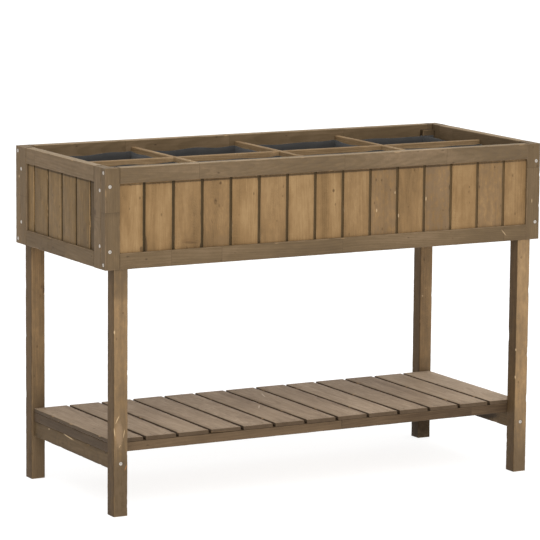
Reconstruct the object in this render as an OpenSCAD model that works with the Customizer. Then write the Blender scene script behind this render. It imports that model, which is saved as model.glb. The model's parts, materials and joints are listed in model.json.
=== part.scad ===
// Herb planter stand: a panelled wooden box on four notched legs, with a slatted shelf.
// X runs along the length, Y from the front to the back, Z up from the ground.
// The origin is on the ground, in the middle of the stand.

/* [Overall size] */
// Length of the box over both ends
overall_l = 1100; // [900:10:1300]
// Depth of the box, front face to back face
overall_w = 460; // [400:10:560]
// Height of the rim above the ground
overall_h = 760; // [650:10:900]

/* [Box panels] */
// Height of the four panels
panel_h = 220; // [180:5:280]
// Visible width of the rails and stiles
frame_w = 35; // [34:1:45]
// Thickness of the rails and stiles
frame_t = 22; // [21:1:26]
// Thickness of the upright boards
board_t = 10; // [9:0.5:11]
// Face width of one board of the long panels
board_w = 70; // [60:1:90]
// Face width of one board of the end panels
end_board_w = 72; // [60:1:90]
// Visible width of the first board of an end panel
end_first_w = 30; // [25:1:60]
// How far the boards' faces lie behind the frame's face
board_setback = 5.5; // [4:0.5:7]
// Depth of the groove that holds the boards
groove_d = 10; // [6:1:12]
// Width of the seam channel between two boards
seam_w = 5.5; // [3:0.5:8]
// Depth of the seam channel
seam_d = 3; // [2:0.5:4]
// Thickness of the tongue on a board's edge
tongue_t = 3; // [2:0.5:4]
// Length of the tongue on a board's edge
tongue_l = 4; // [3:0.5:6]

/* [Legs] */
// Side of a square leg
leg_s = 33; // [30:1:40]
// How far a leg's face lies behind the long panel's face
leg_setback = 2; // [0:0.5:4]
// How far the top of a leg ends below the rim
leg_top_drop = 12; // [0:1:40]

/* [Stretchers] */
// Height of a stretcher's lower edge above the ground
stretcher_z = 99; // [60:1:200]
// Height of a stretcher
stretcher_h = 35; // [30:1:50]
// Thickness of a stretcher
stretcher_t = 20; // [18:1:26]

/* [Shelf] */
// How far the shelf's ends lie inside the legs' outer faces
shelf_inset = 5; // [2:1:12]
// Thickness of a shelf slat
shelf_slat_t = 9; // [7:1:14]
// Width of the first slat, at the shelf's left end
shelf_first_w = 82; // [60:1:100]
// Gap between two shelf slats
shelf_gap = 7; // [4:1:12]
// Width of the rails and battens under the slats
shelf_rail_w = 30; // [24:1:40]
// Height of the rails and battens under the slats
shelf_rail_h = 21; // [15:1:30]

/* [Floor of the box] */
// Side of a square cleat under the floor boards
cleat_s = 22; // [18:1:24]
// Thickness of a floor board
floor_t = 12; // [9:1:18]
// Drainage gap between two floor boards
floor_gap = 8; // [5:1:12]

/* [Pockets] */
// Thickness of a divider
divider_t = 12; // [9:1:18]
// How far the dividers end below the rim
divider_drop = 15; // [5:1:40]
// Thickness of the liner fabric
liner_t = 1; // [0.6:0.1:2]
// How far the liners end below the rim
liner_drop = 25; // [20:1:60]

/* [Fasteners] */
// Diameter of a screw's head
screw_head_d = 9; // [8:0.5:10]
// Diameter of a screw's shank
screw_d = 4; // [3.5:0.5:5]
// Length of the screws that hold the rails to the stiles
rail_screw_l = 60; // [50:1:70]
// Length of the screws in the faces of the long panels
face_screw_l = 45; // [35:1:45]
// Length of the screws from the end panels into the legs
corner_screw_l = 50; // [40:1:50]
// Length of the screws from the legs into the stretchers
leg_screw_l = 70; // [50:1:80]
// Length of the cleats' screws
cleat_screw_l = 35; // [30:1:38]
// Length of the screws of the shelf's frame
shelf_screw_l = 55; // [50:1:70]
// Distance of the shelf frame's screws from the shelf's ends
shelf_screw_edge = 9; // [7:0.5:11]
// Diameter of a nail's head
nail_head_d = 3.2; // [2.6:0.2:4]
// Diameter of a nail
nail_d = 1.6; // [1.2:0.2:2]
// Length of a shelf nail
shelf_nail_l = 23; // [18:1:24]
// Length of a floor nail
floor_nail_l = 28; // [22:1:32]
// Distance of the rail screws from the panels' upper and lower edges
rail_screw_edge = 11; // [8:0.5:14]
// Distance of the face screws from the panels' upper and lower edges
face_screw_edge = 40; // [36:1:42]
// Distance of the corner screws from the panels' upper and lower edges
corner_screw_edge = 50; // [48:1:60]

/* [Fits] */
// Bevel on the long edges of the sawn pieces
ease = 1; // [0.5:0.25:2]
// Clearance on each side of a board, tongue or tenon in its groove
groove_fit = 0.25; // [0.1:0.05:0.5]
// Clearance on each side of a half lap
lap_fit = 0.25; // [0.1:0.05:0.5]
// Clearance round a screw or a nail in its hole
screw_fit = 0.15; // [0.1:0.05:0.3]
// Clearance at each end of a divider or floor board, and round a leg in a floor board's notch
end_fit = 0.5; // [0.25:0.25:1]
// Clearance between the outer floor boards and the end panels
floor_fit = 2; // [1:0.5:4]
// Clearance between the shelf and a leg
shelf_fit = 1; // [0.5:0.25:2]
// Clearance between a liner and the walls round it
liner_fit = 0.5; // [0.3:0.1:1]

/* [Hidden] */
$fn = 24;
SHELF_SLATS = 13;
FLOOR_BOARDS = 12;
CROSS_DIVIDERS = 3;
SIDES = [-1, 1];

// Stain of the frame, the panel boards, the shelf and the inside
frame_colour = [0.46, 0.38, 0.30];
board_colour = [0.60, 0.47, 0.32];
end_board_colour = [0.49, 0.40, 0.29];
leg_colour = [0.44, 0.36, 0.27];
shelf_colour = [0.57, 0.49, 0.41];
inner_colour = [0.62, 0.52, 0.40];
liner_colour = [0.16, 0.16, 0.17];
zinc_colour = [0.80, 0.80, 0.78];

box_z = overall_h - panel_h;
inner_l = overall_l - 2 * frame_t;
inner_w = overall_w - 2 * frame_t;
end_panel_l = inner_w;

// Boards and grooves of a panel, measured inwards from the frame's face
groove_w = board_t + 2 * groove_fit;
groove_mid = board_setback + board_t / 2;
board_h = panel_h - 2 * frame_w + 2 * (groove_d - groove_fit);
tongue_mid = board_setback + (board_t + seam_d) / 2;

// The leg's notch takes the long panel, and its tongue stands inside the box
notch_d = frame_t - leg_setback;
leg_tongue = leg_s - notch_d;
leg_x = overall_l / 2 - frame_t - leg_s / 2;
leg_y = overall_w / 2 - leg_setback - leg_s / 2;
leg_top = overall_h - leg_top_drop;
tongue_y = overall_w / 2 - frame_t - leg_tongue / 2;

stretcher_l = 2 * leg_y - leg_s;
stretcher_top = stretcher_z + stretcher_h;

shelf_l = 2 * leg_x + leg_s - 2 * shelf_inset;
shelf_w = 2 * leg_y - leg_s - 2 * shelf_fit;
shelf_pitch = (shelf_l - shelf_first_w) / (SHELF_SLATS - 1);
shelf_slat_w = shelf_pitch - shelf_gap;
shelf_rail_y = shelf_w / 2 - shelf_rail_w / 2;
shelf_batten_x = shelf_l / 2 - shelf_rail_w / 2;
slat_z = stretcher_top + shelf_rail_h;
shelf_top = slat_z + shelf_slat_t;

cleat_l = 2 * (leg_x - leg_s / 2 - shelf_fit);
cleat_y = inner_w / 2 - cleat_s / 2;
floor_z = box_z + cleat_s;
floor_top = floor_z + floor_t;
floor_l = inner_l - 2 * floor_fit;
floor_w = inner_w - 2 * end_fit;
floor_board_w = (floor_l - (FLOOR_BOARDS - 1) * floor_gap) / FLOOR_BOARDS;
floor_pitch = floor_board_w + floor_gap;

divider_h = overall_h - divider_drop - floor_top;
pocket_l = (inner_l - CROSS_DIVIDERS * divider_t) / (CROSS_DIVIDERS + 1);
pocket_w = (inner_w - divider_t) / 2;
pocket_pitch = pocket_l + divider_t;
lap_w = divider_t + 2 * lap_fit;
liner_z = floor_top + lap_fit;
liner_h = overall_h - liner_drop - liner_z;

// A screw's countersunk head, and how deep its top lies below the surface
head_h = (screw_head_d - screw_d) / 2;
head_sink = 0.2;
head_rim = 0.5;
point_l = 6;
recess_w = 1;
recess_l = screw_head_d * 0.5;
recess_d = 1.6;
nail_head_h = 1;
// How far a cut runs past the surface that it starts from
cut_over = 1;

PANELS = ["front", "rear", "left", "right"];
PANEL_PIECES = ["_top_rail", "_bottom_rail", "_stile_1", "_stile_2", "_boards"];

// Where each kind of fastener starts and which way it points
long_rail_screw_places = [for (sx = SIDES, sy = SIDES, z = edge_heights(rail_screw_edge))
    [[sx * overall_l / 2, sy * (overall_w - frame_t) / 2, z], [-sx, 0, 0]]];
end_rail_screw_places = [for (sx = SIDES, sy = SIDES, z = edge_heights(rail_screw_edge))
    [[sx * (overall_l - frame_t) / 2, sy * inner_w / 2, z], [0, -sy, 0]]];
face_screw_places = [for (sx = SIDES, sy = SIDES, z = edge_heights(face_screw_edge))
    [[sx * (overall_l - frame_t) / 2, sy * overall_w / 2, z], [0, -sy, 0]]];
corner_screw_places = [for (sx = SIDES, sy = SIDES, z = edge_heights(corner_screw_edge))
    [[sx * overall_l / 2, sy * tongue_y, z], [-sx, 0, 0]]];
leg_screw_places = [for (sx = SIDES, sy = SIDES)
    [[sx * leg_x, sy * (leg_y + leg_s / 2), stretcher_z + stretcher_h / 2], [0, -sy, 0]]];
cleat_screw_places = [for (i = [1 : 2 : FLOOR_BOARDS - 1], sy = SIDES)
    [[floor_board_x(i) + floor_pitch / 2, sy * (cleat_y - cleat_s / 2), box_z + cleat_s / 2],
        [0, sy, 0]]];
shelf_screw_places = [for (sx = SIDES, sy = SIDES)
    [[sx * (shelf_l / 2 - shelf_screw_edge), sy * shelf_w / 2, stretcher_top + shelf_rail_h / 2],
        [0, -sy, 0]]];
shelf_nail_places = [for (i = [1 : SHELF_SLATS], sx = SIDES, sy = SIDES)
    [[shelf_slat_x(i) + sx * slat_w(i) / 4, sy * shelf_rail_y, shelf_top], [0, 0, -1]]];
floor_nail_places = [for (i = [1 : FLOOR_BOARDS], sy = SIDES)
    [[floor_board_x(i), sy * cleat_y, floor_top], [0, 0, -1]]];

function edge_heights(edge) = [overall_h - edge, box_z + edge];
function slat_w(i) = i == 1 ? shelf_first_w : shelf_slat_w;
function shelf_slat_x(i) = i == 1
    ? (shelf_first_w - shelf_l) / 2
    : (shelf_l - shelf_slat_w) / 2 - (SHELF_SLATS - i) * shelf_pitch;
function floor_board_x(i) = (i - (FLOOR_BOARDS + 1) / 2) * floor_pitch;
function divider_x(i) = (i - (CROSS_DIVIDERS + 1) / 2) * pocket_pitch;

// Seams of a panel, from the middle of the panel: whole boards, or a part board at each end
function long_seams() = let (
        opening = overall_l - 2 * frame_w,
        n = round((opening + 2 * groove_d) / board_w),
        pitch = (opening + 2 * groove_d) / n)
    [for (i = [1 : n - 1]) (i - n / 2) * pitch];
function end_seams() = let (
        opening = end_panel_l - 2 * frame_w,
        n = floor((opening - end_first_w - 2 * tongue_l) / end_board_w))
    [for (i = [0 : n]) -opening / 2 + end_first_w + i * end_board_w];

// A sawn piece along X, centred on X and Y, its foot at Z = 0, with its long edges bevelled
module sawn_piece(l, w, h) {
    translate([-l / 2, 0, 0])
        rotate([90, 0, 90])
            linear_extrude(l)
                polygon([
                    [-w / 2 + ease, 0], [w / 2 - ease, 0], [w / 2, ease], [w / 2, h - ease],
                    [w / 2 - ease, h], [-w / 2 + ease, h], [-w / 2, h - ease], [-w / 2, ease]
                ]);
}

// The same piece along Y
module sawn_piece_y(l, w, h) {
    rotate([0, 0, 90]) sawn_piece(l, w, h);
}

// The same piece standing up, w along X and d along Y
module sawn_post(w, d, h) {
    translate([0, 0, h / 2])
        rotate([0, 90, 0])
            translate([0, 0, -w / 2])
                sawn_piece(h, d, w);
}

// Turns what points along +Z to point along a row axis
module point_along(place) {
    d = place[1];
    turn = d[0] != 0 ? [0, 90 * d[0], 0] : d[1] != 0 ? [-90 * d[1], 0, 0] : [90 - 90 * d[2], 0, 0];
    translate(place[0]) rotate(turn) children();
}

// A countersunk screw with a cross recess, its head's surface at Z = 0
module screw(l) {
    r = screw_d / 2;
    head_r = screw_head_d / 2;
    difference() {
        rotate_extrude()
            polygon([
                [0, head_sink], [head_r, head_sink], [head_r, head_sink + head_rim],
                [r, head_sink + head_rim + head_h], [r, l - point_l], [0, l]
            ]);
        for (turn = [0, 90])
            rotate([0, 0, turn])
                translate([-recess_l / 2, -recess_w / 2, head_sink - cut_over])
                    cube([recess_l, recess_w, recess_d + cut_over]);
    }
}

// The hole that a screw stands in
module screw_hole(l) {
    r = screw_d / 2 + screw_fit;
    head_r = screw_head_d / 2 + screw_fit;
    head_z = head_sink + head_rim + screw_fit;
    rotate_extrude()
        polygon([
            [0, -cut_over], [head_r, -cut_over], [head_r, head_z], [r, head_z + head_h],
            [r, l + screw_fit], [0, l + screw_fit]
        ]);
}

module screws(places, l) {
    color(zinc_colour)
        for (p = places) point_along(p) screw(l);
}

module screw_holes(places, l) {
    for (p = places) point_along(p) screw_hole(l);
}

// A flat-headed nail, its head's surface at Z = 0
module nail(l) {
    r = nail_d / 2;
    head_r = nail_head_d / 2;
    rotate_extrude()
        polygon([
            [0, head_sink], [head_r, head_sink], [head_r, nail_head_h], [r, nail_head_h],
            [r, l - 2 * nail_d], [0, l]
        ]);
}

module nail_hole(l) {
    r = nail_d / 2 + screw_fit;
    head_r = nail_head_d / 2 + screw_fit;
    head_z = nail_head_h + screw_fit;
    rotate_extrude()
        polygon([
            [0, -cut_over], [head_r, -cut_over], [head_r, head_z], [r, head_z],
            [r, l + screw_fit], [0, l + screw_fit]
        ]);
}

module nails(places, l) {
    color(zinc_colour)
        for (p = places) point_along(p) nail(l);
}

module nail_holes(places, l) {
    for (p = places) point_along(p) nail_hole(l);
}

// Puts a panel's own frame in its place: the panel's face looks along -Y at Y = 0
module place_panel(name) {
    turn = name == "front" ? 0 : name == "rear" ? 180 : name == "left" ? -90 : 90;
    reach = turn == 0 || turn == 180 ? overall_w / 2 : overall_l / 2;
    rotate([0, 0, turn]) translate([0, -reach, box_z]) children();
}

function is_long(name) = name == "front" || name == "rear";
function panel_l(name) = is_long(name) ? overall_l : end_panel_l;

// The holes of the screws that pass through a panel's frame
module panel_screw_holes(name) {
    screw_holes(face_screw_places, face_screw_l);
    if (is_long(name)) {
        screw_holes(long_rail_screw_places, rail_screw_l);
        screw_holes(cleat_screw_places, cleat_screw_l);
    } else {
        screw_holes(end_rail_screw_places, rail_screw_l);
        screw_holes(corner_screw_places, corner_screw_l);
    }
}

// A rail grooved along its inner edge, with a stub tenon at each end
module rail_blank(l, side) {
    body_l = l - 2 * frame_w;
    tenon_l = groove_d - groove_fit;
    tenon_h = frame_w - groove_d;
    z = side > 0 ? panel_h - frame_w : 0;
    groove_z = side > 0 ? z - cut_over : z + tenon_h;
    difference() {
        translate([0, frame_t / 2, z]) sawn_piece(body_l, frame_t, frame_w);
        translate([-body_l / 2 - cut_over, groove_mid - groove_w / 2, groove_z])
            cube([body_l + 2 * cut_over, groove_w, groove_d + cut_over]);
    }
    translate([0, groove_mid, z + tenon_h / 2 + (side > 0 ? groove_d : 0)])
        cube([body_l + 2 * tenon_l, board_t, tenon_h - 2 * ease], center = true);
}

module panel_rail(name, side) {
    color(frame_colour)
        difference() {
            place_panel(name) rail_blank(panel_l(name), side);
            panel_screw_holes(name);
        }
}

// A stile grooved along its inner edge over its full height
module stile_blank(l, side) {
    difference() {
        translate([side * (l - frame_w) / 2, frame_t / 2, 0]) sawn_post(frame_w, frame_t, panel_h);
        translate([side * (l / 2 - frame_w + (groove_d - cut_over) / 2), groove_mid, panel_h / 2])
            cube([groove_d + cut_over, groove_w, panel_h + 2 * cut_over], center = true);
    }
}

module panel_stile(name, side) {
    color(frame_colour)
        difference() {
            place_panel(name) stile_blank(panel_l(name), side);
            panel_screw_holes(name);
        }
}

// One upright board from x1 to x2, its seam channels cut where it meets a neighbour:
// it has a tongue on its right edge and a groove for its neighbour's tongue on its left edge
module board(x1, x2, first, last) {
    y1 = board_setback;
    y2 = board_setback + board_t;
    half_t = tongue_t / 2;
    slot_t = half_t + groove_fit;
    slot_l = tongue_l + groove_fit;
    left = first
        ? [[x1, y2], [x1, y1]]
        : [
            [x1, y2], [x1, tongue_mid + slot_t], [x1 + slot_l, tongue_mid + slot_t],
            [x1 + slot_l, tongue_mid - slot_t], [x1, tongue_mid - slot_t], [x1, y1 + seam_d],
            [x1 + seam_w / 2, y1 + seam_d], [x1 + seam_w / 2, y1]
        ];
    right = last
        ? [[x2, y1], [x2, y2]]
        : [
            [x2 - seam_w / 2, y1], [x2 - seam_w / 2, y1 + seam_d], [x2, y1 + seam_d],
            [x2, tongue_mid - half_t], [x2 + tongue_l, tongue_mid - half_t],
            [x2 + tongue_l, tongue_mid + half_t], [x2, tongue_mid + half_t], [x2, y2]
        ];
    linear_extrude(board_h) polygon(concat(left, right));
}

module panel_boards(name) {
    seams = is_long(name) ? long_seams() : end_seams();
    half = panel_l(name) / 2 - frame_w + groove_d - groove_fit;
    n = len(seams);
    color(is_long(name) ? board_colour : end_board_colour)
        place_panel(name)
            translate([0, 0, frame_w - groove_d + groove_fit])
                for (i = [0 : n])
                    board(
                        i == 0 ? -half : seams[i - 1] + groove_fit / 2,
                        i == n ? half : seams[i] - groove_fit / 2,
                        i == 0, i == n
                    );
}

module panel_piece(name, kind) {
    if (kind == "_top_rail") panel_rail(name, 1);
    if (kind == "_bottom_rail") panel_rail(name, -1);
    if (kind == "_stile_1") panel_stile(name, -1);
    if (kind == "_stile_2") panel_stile(name, 1);
    if (kind == "_boards") panel_boards(name);
}

// A leg: square below the box, notched on its outer face above the shoulder
module leg(sx, sy) {
    color(leg_colour)
        difference() {
            translate([sx * leg_x, sy * leg_y, 0]) sawn_post(leg_s, leg_s, leg_top);
            translate([sx * leg_x, sy * (inner_w + frame_t) / 2, box_z + panel_h / 2])
                cube([leg_s + 2 * cut_over, frame_t, panel_h], center = true);
            screw_holes(leg_screw_places, leg_screw_l);
            screw_holes(corner_screw_places, corner_screw_l);
        }
}

module stretcher(sx) {
    color(leg_colour)
        difference() {
            translate([sx * leg_x, 0, stretcher_z])
                sawn_piece_y(stretcher_l, stretcher_t, stretcher_h);
            screw_holes(leg_screw_places, leg_screw_l);
        }
}

module shelf_rail(sy) {
    color(shelf_colour)
        difference() {
            translate([0, sy * shelf_rail_y, stretcher_top])
                sawn_piece(shelf_l, shelf_rail_w, shelf_rail_h);
            screw_holes(shelf_screw_places, shelf_screw_l);
            nail_holes(shelf_nail_places, shelf_nail_l);
        }
}

module shelf_batten(sx) {
    color(shelf_colour)
        difference() {
            translate([sx * shelf_batten_x, 0, stretcher_top])
                sawn_piece_y(shelf_w - 2 * shelf_rail_w, shelf_rail_w, shelf_rail_h);
            screw_holes(shelf_screw_places, shelf_screw_l);
        }
}

module shelf_slat(i) {
    x = shelf_slat_x(i);
    own_places = [for (p = shelf_nail_places) if (abs(p[0][0] - x) < slat_w(i) / 2) p];
    color(shelf_colour)
        difference() {
            translate([x, 0, slat_z]) sawn_piece_y(shelf_w, slat_w(i), shelf_slat_t);
            nail_holes(own_places, shelf_nail_l);
        }
}

module cleat(sy) {
    color(inner_colour)
        difference() {
            translate([0, sy * cleat_y, box_z]) sawn_piece(cleat_l, cleat_s, cleat_s);
            screw_holes(cleat_screw_places, cleat_screw_l);
            nail_holes(floor_nail_places, floor_nail_l);
        }
}

// The floor boards, the outer two cut round the legs' tongues
module floor_boards() {
    notch_w = leg_tongue + 2 * end_fit;
    color(inner_colour)
        difference() {
            for (i = [1 : FLOOR_BOARDS])
                translate([floor_board_x(i), 0, floor_z])
                    sawn_piece_y(floor_w, floor_board_w, floor_t);
            for (sx = SIDES, sy = SIDES)
                translate([sx * leg_x, sy * tongue_y, floor_z + floor_t / 2])
                    cube([leg_s + 2 * end_fit, notch_w, floor_t + 2 * cut_over], center = true);
            nail_holes(floor_nail_places, floor_nail_l);
        }
}

// A divider's half lap is cut a little deeper than half its height
module divider_long() {
    color(inner_colour)
        difference() {
            translate([0, 0, floor_top]) sawn_piece(inner_l - 2 * end_fit, divider_t, divider_h);
            for (i = [1 : CROSS_DIVIDERS])
                translate([divider_x(i), 0, floor_top + divider_h])
                    cube([lap_w, divider_t + 2 * cut_over, divider_h + 2 * lap_fit], center = true);
        }
}

module divider_cross(i) {
    color(inner_colour)
        difference() {
            translate([divider_x(i), 0, floor_top])
                sawn_piece_y(inner_w - 2 * end_fit, divider_t, divider_h);
            translate([divider_x(i), 0, floor_top])
                cube([divider_t + 2 * cut_over, lap_w, divider_h + 2 * lap_fit], center = true);
        }
}

// The plan of a pocket, drawn in by some distance all round and round the leg in a corner
module pocket_plan(i, sy, inset) {
    end = i == 0 ? -1 : i == CROSS_DIVIDERS ? 1 : 0;
    x = (i - CROSS_DIVIDERS / 2) * pocket_pitch;
    y = sy * (divider_t + pocket_w) / 2;
    difference() {
        translate([x, y]) square([pocket_l - 2 * inset, pocket_w - 2 * inset], center = true);
        if (end != 0)
            translate([end * leg_x, sy * tongue_y])
                square([leg_s + 2 * inset, leg_tongue + 2 * inset], center = true);
    }
}

// Open-topped fabric liners, one in each pocket
module pocket_liners() {
    color(liner_colour)
        for (i = [0 : CROSS_DIVIDERS], sy = SIDES)
            translate([0, 0, liner_z])
                difference() {
                    linear_extrude(liner_h) pocket_plan(i, sy, liner_fit);
                    translate([0, 0, liner_t])
                        linear_extrude(liner_h) pocket_plan(i, sy, liner_fit + liner_t);
                }
}

leg(-1, -1);  // leg_front_left
leg(1, -1);  // leg_front_right
leg(-1, 1);  // leg_rear_left
leg(1, 1);  // leg_rear_right
for (p = PANELS, k = PANEL_PIECES)
    panel_piece(p, k);
stretcher(-1);  // stretcher_left
stretcher(1);  // stretcher_right
shelf_rail(-1);  // shelf_rail_front
shelf_rail(1);  // shelf_rail_rear
shelf_batten(-1);  // shelf_batten_left
shelf_batten(1);  // shelf_batten_right
for (i = [1 : SHELF_SLATS])
    shelf_slat(i);
cleat(-1);  // cleat_front
cleat(1);  // cleat_rear
floor_boards();
divider_long();
for (i = [1 : CROSS_DIVIDERS])
    divider_cross(i);
pocket_liners();
union() {  // rail_screws
    screws(long_rail_screw_places, rail_screw_l);
    screws(end_rail_screw_places, rail_screw_l);
}
screws(face_screw_places, face_screw_l);  // face_screws
screws(corner_screw_places, corner_screw_l);  // corner_screws
screws(leg_screw_places, leg_screw_l);  // leg_screws
screws(cleat_screw_places, cleat_screw_l);  // cleat_screws
screws(shelf_screw_places, shelf_screw_l);  // shelf_screws
nails(shelf_nail_places, shelf_nail_l);  // shelf_nails
nails(floor_nail_places, floor_nail_l);  // floor_nails
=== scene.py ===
# %% [markdown]
# This file dresses a herb planter stand: a panelled box of brown-stained fir on four legs, with a
# slatted shelf near the ground. The construction arrives as a fixed frame, every piece at its real
# size and place. The work here is what a finisher does to such a stand: sawn edges that a thumb has
# rubbed, boards that took the stain unevenly, screws with a cross recess and soft felt pocket liners.
# The first line of work is always the same: load the frame.

# %% The frame
import json
import math
import random
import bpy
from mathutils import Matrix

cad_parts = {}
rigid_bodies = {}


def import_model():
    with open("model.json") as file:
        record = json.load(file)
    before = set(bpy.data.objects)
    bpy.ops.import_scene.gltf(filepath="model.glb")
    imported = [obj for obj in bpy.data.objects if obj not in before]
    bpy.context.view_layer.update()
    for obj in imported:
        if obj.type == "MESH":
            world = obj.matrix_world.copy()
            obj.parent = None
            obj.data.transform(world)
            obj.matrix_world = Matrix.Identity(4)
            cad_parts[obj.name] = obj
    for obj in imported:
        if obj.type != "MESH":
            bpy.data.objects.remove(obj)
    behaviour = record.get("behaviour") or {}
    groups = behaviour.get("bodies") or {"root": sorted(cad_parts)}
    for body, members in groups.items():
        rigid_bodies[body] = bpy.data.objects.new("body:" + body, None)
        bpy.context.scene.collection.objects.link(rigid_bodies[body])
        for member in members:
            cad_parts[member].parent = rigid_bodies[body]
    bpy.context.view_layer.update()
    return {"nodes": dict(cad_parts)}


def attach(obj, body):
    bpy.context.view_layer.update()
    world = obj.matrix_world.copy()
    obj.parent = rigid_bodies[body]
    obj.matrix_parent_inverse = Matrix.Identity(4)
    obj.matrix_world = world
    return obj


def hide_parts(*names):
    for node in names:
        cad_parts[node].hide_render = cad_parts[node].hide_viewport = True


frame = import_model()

from types import SimpleNamespace

import bmesh
import bpy
import numpy as np
from mathutils import Matrix, Vector, noise

MM = 0.001
BODY = "root"

# %% [markdown]
# The photograph was taken from a little above the rim, with a long lens from over seven metres away,
# so upright lines stay nearly parallel. A camera can be aimed by eye, or worked out from corners whose
# real places are known. The second way was used, and its result is five values: two angles to the
# stand, a slight roll, a place and a focal length.

# %% The camera
CAMERA_PLACE = Vector((-3.606, -6.529, 1.646))
CAMERA_TURN = math.radians(28.751)
CAMERA_DIP = math.radians(8.944)
CAMERA_ROLL = math.radians(0.506)
CAMERA_LENS = 221.65
CAMERA_REACH = 200.0
STAND_MIDDLE = Vector((0, 0, 0.4))

scene = bpy.context.scene


def in_scene(name, data):
    """A new object of the scene."""
    obj = bpy.data.objects.new(name, data)
    scene.collection.objects.link(obj)
    return obj


def aimed_camera():
    """The camera's axes: right and up across the picture, and the way it looks."""
    look = Vector((
        math.sin(CAMERA_TURN) * math.cos(CAMERA_DIP),
        math.cos(CAMERA_TURN) * math.cos(CAMERA_DIP),
        -math.sin(CAMERA_DIP),
    ))
    level = look.cross(Vector((0, 0, 1))).normalized()
    rise = level.cross(look)
    right = math.cos(CAMERA_ROLL) * level + math.sin(CAMERA_ROLL) * rise
    up = math.cos(CAMERA_ROLL) * rise - math.sin(CAMERA_ROLL) * level
    return Matrix((right, up, -look)).transposed()


camera = in_scene("camera", bpy.data.cameras.new("camera"))
camera.data.lens = CAMERA_LENS
camera.matrix_world = Matrix.Translation(CAMERA_PLACE) @ aimed_camera().to_4x4()
camera.data.clip_end = CAMERA_REACH
scene.camera = camera
print("camera:", round((CAMERA_PLACE - STAND_MIDDLE).length, 2), "m from the stand")

# %% [markdown]
# The stand is lit as in a white studio. A broad lamp in front of the long side, a little to its left,
# makes that side about a fifth brighter than the end, walls and ceiling send even light, and the paper
# under it is so bright that it lights the stand from below and almost swallows its shadow. One dome of
# even light would flatten the panels, and a small lamp would cast hard shadows that the photograph
# doesn't have. So a wide sun is added to the dome, and the paper glows a little by itself.

# %% Light and floor
DOME_STRENGTH = 0.8
SUN_STRENGTH = 1.6
SUN_SPREAD = math.radians(55)
SUN_WAY = Vector((0.2, 0.9, -1.0))
PAPER_GREY = 0.35
PAPER_GLOW = 0.8
PAPER_ROUGH = 0.9
PAPER_SHINE = 0.1
FLOOR_REACH = 60.0

scene.view_settings.view_transform = "Standard"
world = bpy.data.worlds.new("studio")
world.use_nodes = True
world.node_tree.nodes["Background"].inputs["Color"].default_value = (1.0, 1.0, 1.0, 1.0)
world.node_tree.nodes["Background"].inputs["Strength"].default_value = DOME_STRENGTH
scene.world = world

sun = in_scene("sun", bpy.data.lights.new("sun", "SUN"))
sun.data.energy = SUN_STRENGTH
sun.data.angle = SUN_SPREAD
sun.rotation_mode = "QUATERNION"
sun.rotation_quaternion = SUN_WAY.to_track_quat("-Z", "Y")

floor_mesh = bpy.data.meshes.new("studio_floor")
corners = [(x * FLOOR_REACH, y * FLOOR_REACH, 0) for x, y in ((-1, -1), (1, -1), (1, 1), (-1, 1))]
floor_mesh.from_pydata(corners, [], [(0, 1, 2, 3)])
paper = bpy.data.materials.new("studio_paper")
paper.use_nodes = True
paper_shader = paper.node_tree.nodes["Principled BSDF"]
paper_shader.inputs["Base Color"].default_value = (PAPER_GREY, PAPER_GREY, PAPER_GREY, 1)
paper_shader.inputs["Roughness"].default_value = PAPER_ROUGH
paper_shader.inputs["Specular IOR Level"].default_value = PAPER_SHINE
paper_shader.inputs["Emission Color"].default_value = (1, 1, 1, 1)
paper_shader.inputs["Emission Strength"].default_value = PAPER_GLOW
floor_mesh.materials.append(paper)
studio_floor = in_scene("studio_floor", floor_mesh)
print("light: dome", DOME_STRENGTH, "and sun", SUN_STRENGTH, "over paper of", 2 * FLOOR_REACH, "m")

# %% [markdown]
# A shader and a row of boards are both written as node trees. Typing out each node and link hides
# the recipe, so one small helper adds a node, fills its inputs with numbers or with the outputs of
# other nodes, and hands back its own output. Later cells then read from the inside out, like sums.

# %% A short way to write nodes


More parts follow.
